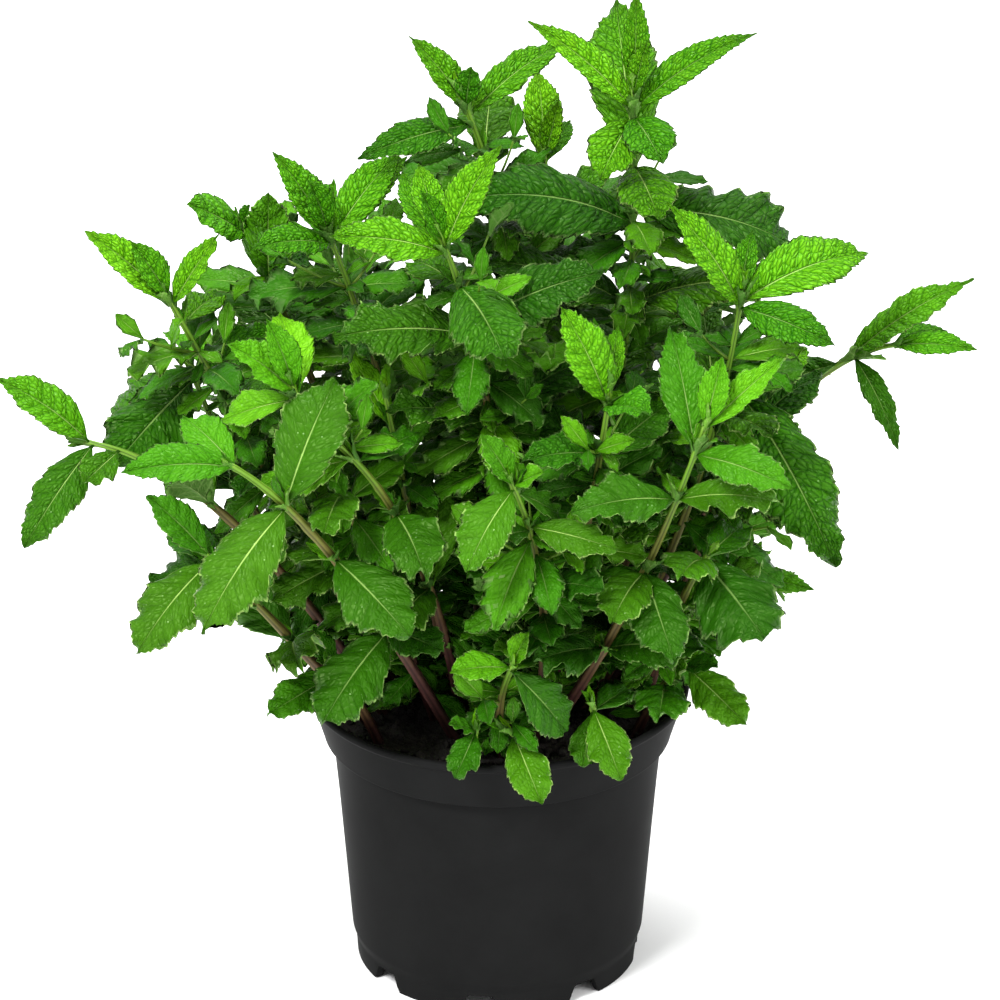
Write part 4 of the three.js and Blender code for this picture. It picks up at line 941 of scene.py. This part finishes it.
def dress(leaf, draw, youth, relief=0.25):
    """Gives a leaf its age and how it differs from the next: a young one is folded and plain, an old one
    waved, drooping and crimped. Relief is how deeply it is quilted."""
    leaf["youth"] = float(np.clip(youth + draw.uniform(-0.06, 0.06), 0.03, 1))
    old = 1 - leaf["youth"]
    leaf["look"] = {
        "fold": draw.uniform(4, 20) * leaf["youth"],
        "bend": draw.uniform(-0.07, 0.07),
        "waves": draw.uniform(1.5, 3.2),
        "start": draw.uniform(0, 1),
        "wave": draw.uniform(0.35, 1.1) * (0.15 + old) * (1.1 - 0.3 * relief),
        "droop": draw.uniform(-0.4, 0.7) * old,
        "quilt": draw.uniform(0.8, 1.3),
        "shade": draw.uniform(0, 1),
        "relief": float(np.clip(relief * (0.75 + 0.5 * leaf["youth"]), 0.1, 1)),
    }
    return leaf


# How much younger (or older) than its distance from the tip says each shoot's leaves look in the photo.
SHOOT_YOUTH = {
    "crown": 0.08, "right_upper": 0.02, "far_right": -0.1, "far_left": -0.35, "left_round": -0.35,
    "right_big": -0.2, "left_arch": -0.15, "right_low": -0.65, "front_low": -0.35, "rim_front": -0.4,
    "rim_front_left": -0.4, "rim_front_right": -0.45, "rim_left": -0.4, "rim_right": -0.4,
    "far_left_upper": -0.15, "left_low": -0.5, "crown_left": -0.2, "front_centre": -0.4,
    "left_front": -0.3, "right_front": -0.25,
}
OTHER_YOUTH = -0.04
# A leaf is yellow-green at the tip and dark from this far below it, and darker still where it hangs.
TIP_YOUTH = 0.92
YOUTH_FADES_OVER = 50.0
HANGING_IS_OLDER = 0.35
# How deeply quilted the grown leaves of each shoot are: those out in the light the most.
SHOOT_RELIEF = {
    "crown": 1.0, "crown_left": 0.9, "right_upper": 0.9, "right_big": 1.0, "centre_left": 0.8,
    "far_right": 0.6, "far_left": 0.6, "upright_sprig": 0.8, "upper_left": 0.8, "left_upper": 0.7,
    "left_round": 0.8, "far_left_upper": 0.6, "centre_right": 0.6,
}
OTHER_RELIEF = 0.35
# Small leaves start below the tip of each stem, and for these stems lower still.
BARE_BELOW_TIP = {"crown": 46.0}
# Shoots whose bare stems show in the photo have none, and in front of two of them nothing is put within
# a distance of the stem.
OPEN_SHOOTS = {
    "left_front", "right_front", "left_arch", "far_left", "far_right", "right_trailing", "rim_front",
    "rim_front_left", "rim_front_right", "left_low", "rim_left", "left_round",
}
CLEAR_SHOOTS = ("left_front", "right_front")
CLEAR_OF_STEM = 6.0
# Behind this place the light comes from above and behind.
BACK_STARTS = 50.0
# The crowd is a grid of cells, each taken or free.
CELL = 2.6
CROWD_CORNER = np.array([-200.0, -135.0, 100.0])
crowd = np.zeros((156, 106, 125), bool)
SMALL_LEAF_STEP = 2.2
BOX_MARGIN = 1.5
box_low, box_high = (np.array(corner) * 1000 for corner in cad_box)


def crowd_cells(points):
    """The cells of the crowd's grid that points fall in."""
    cell = ((points - CROWD_CORNER) / CELL).astype(int)
    return tuple(np.clip(cell, 0, np.array(crowd.shape) - 1).T)


def seen(points):
    """Places as they lie in the view from the front, and how near each is to there."""
    rise = math.radians(VIEW_RISE)
    flat = np.stack([points[:, 0], points[:, 2] * math.cos(rise) + points[:, 1] * math.sin(rise)], axis=1)
    return flat, points[:, 2] * math.sin(rise) - points[:, 1] * math.cos(rise)


clear_stems = [
    seen(stem["curve"]["point"](np.linspace(0.05, 0.75, 60)))
    for stem in stems
    if stem["name"] in CLEAR_SHOOTS
]


def hides_clear_stem(leaf):
    """Whether a leaf is nearer to the front than one of the stems that stand clear, and covers it."""
    flat, near = seen(blade_samples(leaf, 3.0))
    for stem_flat, stem_near in clear_stems:
        apart = ((flat[:, None] - stem_flat[None]) ** 2).sum(axis=2)
        if ((apart < CLEAR_OF_STEM**2) & (near[:, None] > stem_near[None])).any():
            return True
    return False


def fits(leaf):
    """Takes room for a leaf in the crowd if it crosses nothing there and stays in the object's box."""
    points = blade_samples(leaf, SMALL_LEAF_STEP)
    if (points < box_low + BOX_MARGIN).any() or (points > box_high - BOX_MARGIN).any():
        return False
    cells = crowd_cells(points)
    if in_pot(points) or hides_clear_stem(leaf) or crowd[cells].any():
        return False
    crowd[cells] = True
    return True


def frame_on(stem, down):
    """The place on a stem at a distance below its tip, its way there and two directions across it."""
    curve = stem["curve"]
    t = float(curve["parameter"](1 - down / curve["length"]))
    way = curve["way"](t)
    return (curve["point"](t), way, *across_stem(way))


def leaf_off(place, way, out, spread, length, width, to_light):
    """A leaf that leaves a stem at an angle to it, its face turned some way towards the light, which at
    the back of the plant comes from above and a little from behind."""
    chord = math.cos(spread) * way + math.sin(spread) * out
    light = LIGHT * [1, -0.35 if place[1] > BACK_STARTS else 1, 1]
    facing = (1 - to_light) * (math.sin(spread) * way - math.cos(spread) * out) + to_light * light
    return arched_leaf(place, chord, facing, length, width, 0)


def bud_leaves(stem, draw):
    """The tiny leaves of a shoot: two pairs about the growing tip, and one pair in the crook of each
    grown leaf, all pointing nearly along the stem."""
    buds = []
    for pair in range(2):
        for half in (0, math.pi):
            around = math.radians(stem["shoot"]["turn"] + 90 * pair) + half + draw.uniform(-0.2, 0.2)
            place, way, side, back = frame_on(stem, 0.3 + 1.2 * pair)
            out = outward(around, side, back)
            bud = leaf_off(place, way, out, math.radians(12 + 14 * pair), draw.uniform(6.5, 11), 0.4, 0)
            buds.append(dress(bud, draw, draw.uniform(0.7, 0.95)))
    for leaf in stem["leaves"]:
        if leaf["length"] < 26 or leaf["down"] < 5:
            continue
        place, way, side, back = frame_on(stem, leaf["down"] + 0.5)
        around = math.atan2(leaf["along"] @ back, leaf["along"] @ side)
        for off in (-0.5, 0.45):
            out = outward(around + off, side, back)
            bud = leaf_off(place, way, out, math.radians(draw.uniform(18, 42)), draw.uniform(7, 15), 0.4, 0)
            buds.append(dress(bud, draw, draw.uniform(0.25, 0.6)))
    return buds


def places_down(stem, highest, lowest, spacing):
    """Distances below the tip at a spacing, from the highest place or where the stem stops being bare."""
    first = max(highest, BARE_BELOW_TIP.get(stem["name"], 0))
    return np.arange(first, stem["curve"]["length"] - lowest, spacing)


def bare_leaves(stem, draw, sizes, highest, spacing):
    """Grown leaves on the lower stem, in opposite pairs at a spacing, wherever they cross nothing: each
    is tried ten times, smaller each time."""
    grown = []
    for step, down in enumerate(places_down(stem, highest, 5, spacing)):
        place, way, side, back = frame_on(stem, down)
        for half in (0, math.pi):
            for attempt in range(10):
                around = math.radians(stem["shoot"]["turn"] + 90 * step) + half + draw.uniform(-0.7, 0.7)
                size = draw.uniform(*sizes) * (1 - 0.06 * attempt)
                spread = math.radians(draw.uniform(62, 118))
                out = outward(around, side, back)
                leaf = leaf_off(place, way, out, spread, size, draw.uniform(0.44, 0.56), 0.5)
                if fits(leaf):
                    grown.append(dress(leaf, draw, draw.uniform(0.12, 0.45)))
                    break
    return grown


# The pairs of leaves on a side shoot: how far along it they stand, how far they spread from it, how long
# they are and how the pair is turned.
SPRIG_PAIRS = [(0.5, 68, 22, 0.3), (0.97, 48, 17, 1.9), (1.0, 20, 10, 0.3)]
SPRIG_BEND = 0.18


def side_shoots(stem, draw):
    """Short side shoots from the crooks of the leaves, each a thin stalk with two pairs of small leaves
    and a pair at its tip; a leaf that would cross another is left out, and a stalk with too few too."""
    sprigs, stalks = [], []
    for step, down in enumerate(places_down(stem, 30, 10, 12.0)):
        place, way, side, back = frame_on(stem, down)
        for half in (0, math.pi):
            around = math.radians(stem["shoot"]["turn"] + 90 * step + 30) + half + draw.uniform(-0.5, 0.5)
            out = outward(around, side, back)
            rise = math.radians(draw.uniform(35, 70))
            heading = unit(math.cos(rise) * way + math.sin(rise) * out)
            reach = draw.uniform(9, 27)
            t = np.linspace(0, 1, 5)
            line = place + (t * reach)[:, None] * heading + (t**2 * SPRIG_BEND * reach)[:, None] * way
            ways = heading + (2 * t * SPRIG_BEND)[:, None] * way
            ways /= np.linalg.norm(ways, axis=1, keepdims=True)
            side_across, back_across = across_stem(ways[-1])
            sprig = []
            for at, spread, size, turned_by in SPRIG_PAIRS:
                for opposite in (0, math.pi):
                    turn = turned_by + opposite + draw.uniform(-0.3, 0.3)
                    lateral = outward(turn, side_across, back_across)
                    foot = place + at * reach * heading + at * at * SPRIG_BEND * reach * way
                    leaf = leaf_off(
                        foot, ways[-1], lateral, math.radians(spread + draw.uniform(-8, 8)),
                        size * draw.uniform(0.75, 1.2), draw.uniform(0.42, 0.54), 0.4,
                    )
                    if fits(leaf):
                        sprig.append(dress(leaf, draw, draw.uniform(0.2, 0.5) + 0.25 * (size < 12)))
            if len(sprig) > 1:
                sprigs += sprig
                stalks.append(square_rod(line, ways, 0.85 - 0.35 * t, 0.75 + 0.2 * t, 6))
    return sprigs, stalks


def gathered(parts):
    """One set of arrays from many surfaces: each one's faces point to its own points."""
    starts = np.cumsum([0] + [len(part["points"]) for part in parts])
    quads = np.vstack([part["quads"] + start for part, start in zip(parts, starts)])
    fans = np.vstack([part["fans"] + start for part, start in zip(parts, starts)])
    skin = [part["skin"][: len(part["quads"])] for part in parts]
    skin += [part["skin"][len(part["quads"]):] for part in parts]
    values = {"along": np.concatenate([part["along"] for part in parts])}
    for name in ("youth", "shade", "quilt"):
        values[name] = np.concatenate([np.full(len(part["points"]), part[name]) for part in parts])
    points = np.vstack([part["points"] for part in parts])
    return points, quads, fans, np.vstack([part["uv"] for part in parts]), np.concatenate(skin), values


# From an old leaf's green to the yellow-green of the youngest.
GREEN_BY_AGE = [
    (0.0, (0.018, 0.094, 0.0018)),
    (0.3, (0.029, 0.152, 0.0024)),
    (0.6, (0.058, 0.262, 0.0038)),
    (0.85, (0.090, 0.350, 0.0052)),
    (1.0, (0.145, 0.430, 0.0070)),
]


def leaf_skin(name, upper_face):
    """Leaf tissue: a green by age, mottled; the side veins lie at whole numbers of the surface's second
    measure, with a net of small cells between them. On the upper face painted shade darkens the sunken
    veins and the lines of the net, the more the deeper the leaf is quilted, and pale specks on older
    leaves are painted highlights. The midrib and the margin are paler. Each layer is laid over the ones
    before: how it blends, where it is, how strong it is there, and its colour."""
    made, node, finish = material(name)
    place = node("TexCoord", "Object")
    surface = node("UVMap", "UV", uv_map="surface")
    across = node("SeparateXYZ", "X", {"Vector": surface})
    up_blade = across.node.outputs["Y"]
    youth, shade, quilt, along = (
        node("Attribute", "Fac", attribute_name=word) for word in ("youth", "shade", "quilt", "along")
    )
    mottle = node("TexNoise", "Fac", {"Vector": place, "Scale": 110.0, "Detail": 4.0, "Roughness": 0.6})

    def ranged(value, start, end, low, high):
        span = {"Value": value, "From Min": start, "From Max": end, "To Min": low, "To Max": high}
        return node("MapRange", "Result", span, interpolation_type="SMOOTHSTEP")

    def sums(kind, *values):
        return node("Math", "Value", dict(enumerate(values)), operation=kind)

    aged = sums("SUBTRACT", sums("MULTIPLY_ADD", mottle, 0.34, youth), 0.17)
    green = ramp(node, aged, GREEN_BY_AGE)
    wobble = node("TexNoise", "Fac", {"Vector": place, "Scale": 420.0, "Detail": 2.0})
    bent = sums("SUBTRACT", sums("MULTIPLY_ADD", wobble, 0.26, up_blade), 0.13)
    from_vein = sums("PINGPONG", bent, 0.5)
    from_rib = sums("ABSOLUTE", sums("SUBTRACT", across, 0.5))
    to_margin = sums("SUBTRACT", 0.5, from_rib)
    vein = ranged(from_vein, 0.0, 0.13, 1.0, 0.0)
    stretched = node("VectorMath", "Vector", {0: surface, 1: (9.0, 2.5, 1.0)}, operation="MULTIPLY")
    cells = node(
        "TexVoronoi", "Distance", {"Vector": stretched, "Scale": 1.0},
        feature="DISTANCE_TO_EDGE", voronoi_dimensions="2D",
    )
    net = ranged(cells, 0.0, 0.24, 1.0, 0.0)
    rib_line = ranged(from_rib, 0.006, 0.02, 1.0, 0.0)
    rib = sums("MULTIPLY", rib_line, ranged(along, 0.25, 0.97, 1.0, 0.15))
    margin = ranged(to_margin, 0.010, 0.038, 1.0, 0.0)
    old = sums("SUBTRACT", 1.0, youth)
    value = ranged(shade, 0.0, 1.0, 0.66, 1.22)
    hue = ranged(shade, 0.0, 1.0, 0.503, 0.485)
    if upper_face:
        # Painted highlights: small pale specks on the upper faces of older leaves stand for tiny glints.
        glint_cells = node("TexVoronoi", "Distance", {"Vector": place, "Scale": 480.0})
        few = ranged(glint_cells.node.outputs["Color"], 0.65, 0.75, 0, 1)
        painted_glint = sums("MULTIPLY", ranged(glint_cells, 0.08, 0.2, 1.0, 0.0), few)
        # Painted shade: the side veins and the lines of the net are multiplied darker, more on a deeply
        # quilted leaf, for the shade in their sunken valleys.
        layers = [
            ("MULTIPLY", vein, ranged(quilt, 0.1, 0.9, 0.16, 0.62), (0.2, 0.52, 0.15, 1)),
            ("MULTIPLY", net, ranged(quilt, 0.2, 0.9, 0.06, 0.5), (0.2, 0.52, 0.15, 1)),
            ("MIX", rib, 0.75, (0.27, 0.46, 0.11, 1)),
            ("MIX", margin, ranged(old, 0.2, 0.6, 0.1, 0.7), (0.30, 0.52, 0.13, 1)),
            ("MIX", painted_glint, ranged(old, 0.2, 0.8, 0.0, 0.4), (0.36, 0.58, 0.24, 1)),
        ]
    else:
        green = blended(node, "MIX", 0.5, green, (0.09, 0.2, 0.045, 1))
        layers = [
            ("MIX", vein, 0.5, (0.2, 0.33, 0.1, 1)),
            ("MIX", net, 0.25, (0.16, 0.28, 0.08, 1)),
            ("MIX", rib, 0.8, (0.26, 0.4, 0.13, 1)),
        ]
    colour = green
    for kind, where, strength, tone in layers:
        colour = blended(node, kind, sums("MULTIPLY", where, strength), colour, tone)

    dome = sums("MULTIPLY", sums("POWER", sums("MINIMUM", cells, 0.5), 0.65), 1.3)
    pillow = sums("MULTIPLY_ADD", sums("POWER", from_vein, 0.6), 1.4, dome)
    swell = sums("MULTIPLY", sums("MULTIPLY", pillow, quilt), sums("SUBTRACT", 1.0, rib_line))
    deep = 0.0014 if upper_face else 0.0005
    relief = node("Bump", "Normal", {"Height": swell, "Strength": 1.0, "Distance": deep})
    grain = node("TexNoise", "Fac", {"Vector": place, "Scale": 1300.0, "Detail": 2.0})
    fine = {"Height": grain, "Strength": 0.2, "Distance": 0.0002, "Normal": relief}
    rough = (0.34, 0.5) if upper_face else (0.62, 0.8)
    finish(
        {
            "Base Color": node("HueSaturation", "Color", {"Color": colour, "Value": value, "Hue": hue}),
            "Roughness": ranged(mottle, 0.2, 0.8, *rough),
            "Normal": node("Bump", "Normal", fine),
            "IOR": 1.2,
            "Specular IOR Level": 1.0,
            "Specular Tint": (0.7, 1.0, 0.35, 1),
        }
    )
    return made


leaf_upper = leaf_skin("mint_leaf_upper", True)
leaf_under = leaf_skin("mint_leaf_underside", False)

# The stems and their grown leaves take their room in the crowd first. Then small leaves and side shoots
# fill what is left: the larger leaves, then side shoots, then the smallest leaves.
for stem in stems:
    crowd[crowd_cells(stem["curve"]["point"](np.linspace(0.02, 1, 160)))] = True
    for leaf in stem["leaves"]:
        crowd[crowd_cells(blade_samples(leaf, 2.0))] = True

draws = [np.random.default_rng(100 + number) for number in range(len(stems))]
bushy = [(stem, draw) for stem, draw in zip(stems, draws) if stem["name"] not in OPEN_SHOOTS]
for stem, draw in bushy:
    stem["small_leaves"] += bare_leaves(stem, draw, (26, 42), 30.0, 8.0)
for stem, draw in bushy:
    sprigs, stem["stalks"] = side_shoots(stem, draw)
    stem["small_leaves"] += sprigs
for stem, draw in bushy:
    stem["small_leaves"] += bare_leaves(stem, draw, (15, 30), 24.0, 5.0)

# Each bushy shoot's leaves take their looks from further on in its row of random draws: 80 draws on for
# each 3 mm of its stem that may bear small leaves.
for stem, draw in bushy:
    draw.bit_generator.advance(80 * len(places_down(stem, 24.0, 5, 3.0)))

for stem, draw in zip(stems, draws):
    name = stem["name"]
    parts = [stem_surface(stem)] + stem["stalks"]
    for leaf in stem["leaves"]:
        tip = blade_place(leaf, np.ones(1), np.zeros(1), np.zeros(1))[0]
        hang = np.clip(1.8 * (leaf["base"][2] - tip[2]) / leaf["length"], 0, 1)
        young = TIP_YOUTH * max(1 - leaf["down"] / YOUTH_FADES_OVER, 0) - HANGING_IS_OLDER * hang
        young += SHOOT_YOUTH.get(name, OTHER_YOUTH)
        dress(leaf, draw, young, SHOOT_RELIEF.get(name, OTHER_RELIEF))
        parts.append(blade_surface(leaf, FINE))
    parts += [blade_surface(leaf, PLAIN if leaf["length"] > 15 else TINY) for leaf in stem["small_leaves"]]
    parts += [blade_surface(leaf, TINY) for leaf in bud_leaves(stem, draw)]
    points, quads, fans, uv, skin, values = gathered(parts)
    points = np.clip(points, box_low + 0.05, box_high - 0.05)
    skins = [leaf_upper, leaf_under, stem_skin]
    shoot = lay_mesh("mint_" + name, points, quads, fans, skins, uv, skin, values)
    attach(shoot, "root")
    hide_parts("shoot_" + name)


# ---------------------------------------------------------------- the studio
# A plain white sweep under soft even light, brighter from the upper left and front.

FLOOR_RADIUS = 9000
FLOOR_DEPTH = 20
FLOOR_SIDES = 64
LENS = 224.1
SENSOR_WIDTH = 36

floor_angle = np.arange(FLOOR_SIDES) * 2 * math.pi / FLOOR_SIDES
floor_ring = np.stack([np.cos(floor_angle), np.sin(floor_angle), 0 * floor_angle], axis=1) * FLOOR_RADIUS
floor_ends = [[0, 0, 0], [0, 0, -FLOOR_DEPTH]]
floor_points = np.vstack([floor_ring, floor_ring - [0, 0, FLOOR_DEPTH], floor_ends])
floor_quads = ring_quads(2, FLOOR_SIDES)[:, ::-1]
floor_fans = end_fans(2, FLOOR_SIDES, 2 * FLOOR_SIDES, 2 * FLOOR_SIDES + 1)[:, ::-1]
paper, node, finish = material("white_paper")
cloud = node("TexNoise", "Fac", {"Vector": node("TexCoord", "Object"), "Scale": 3.0, "Detail": 2.0})
tint = ramp(node, cloud, [(0.3, (0.93, 0.93, 0.93)), (0.7, (0.95, 0.95, 0.95))])
finish({"Base Color": tint, "Roughness": 0.9})
floor = lay_mesh("floor", floor_points, floor_quads, floor_fans, [paper])


def soft_box(name, place, aim, width, power):
    """A square lamp turned to face a point."""
    lamp = bpy.data.lights.new(name, "AREA")
    lamp.shape, lamp.size, lamp.energy = "SQUARE", width, power
    held = bpy.data.objects.new(name, lamp)
    held.location = place
    toward = np.array(aim, float) - np.array(place, float)
    pitch = math.atan2(math.hypot(toward[0], toward[1]), -toward[2])
    held.rotation_euler = (pitch, 0, math.atan2(toward[1], toward[0]) - math.pi / 2)
    bpy.context.scene.collection.objects.link(held)


soft_box("key_light", (-1.1, -1.5, 2.3), (0, 0, 0.22), 0.8, 110)
soft_box("fill_light", (1.7, -1.3, 1.5), (0, 0, 0.2), 1.2, 36)
soft_box("top_light", (0.2, 0.7, 2.4), (0, 0, 0.2), 1.0, 50)

world = bpy.data.worlds.new("white_room")
world.use_nodes = True
glow = world.node_tree.nodes["Background"]
glow.inputs["Color"].default_value = (1, 1, 1, 1)
glow.inputs["Strength"].default_value = 0.76
bpy.context.scene.world = world
bpy.context.scene.view_settings.view_transform = "Standard"
bpy.context.scene.view_settings.look = "None"

# The camera stands where the photo was taken from: 2.4 m from a point 195 mm above the floor, which its
# lens frames 386 mm wide.
CAMERA_RISE = math.radians(VIEW_RISE)
CAMERA_AWAY = 2.4
CAMERA_AIM = (0.001, 0, 0.1953)
camera = bpy.data.cameras.new("camera")
camera.sensor_width, camera.lens = SENSOR_WIDTH, LENS
camera.clip_start, camera.clip_end = 0.1, 60
viewer = bpy.data.objects.new("camera", camera)
back_off, height = -CAMERA_AWAY * math.cos(CAMERA_RISE), CAMERA_AWAY * math.sin(CAMERA_RISE)
viewer.location = (CAMERA_AIM[0], CAMERA_AIM[1] + back_off, CAMERA_AIM[2] + height)
viewer.rotation_euler = (math.pi / 2 - CAMERA_RISE, 0, 0)
bpy.context.scene.collection.objects.link(viewer)
bpy.context.scene.camera = viewer
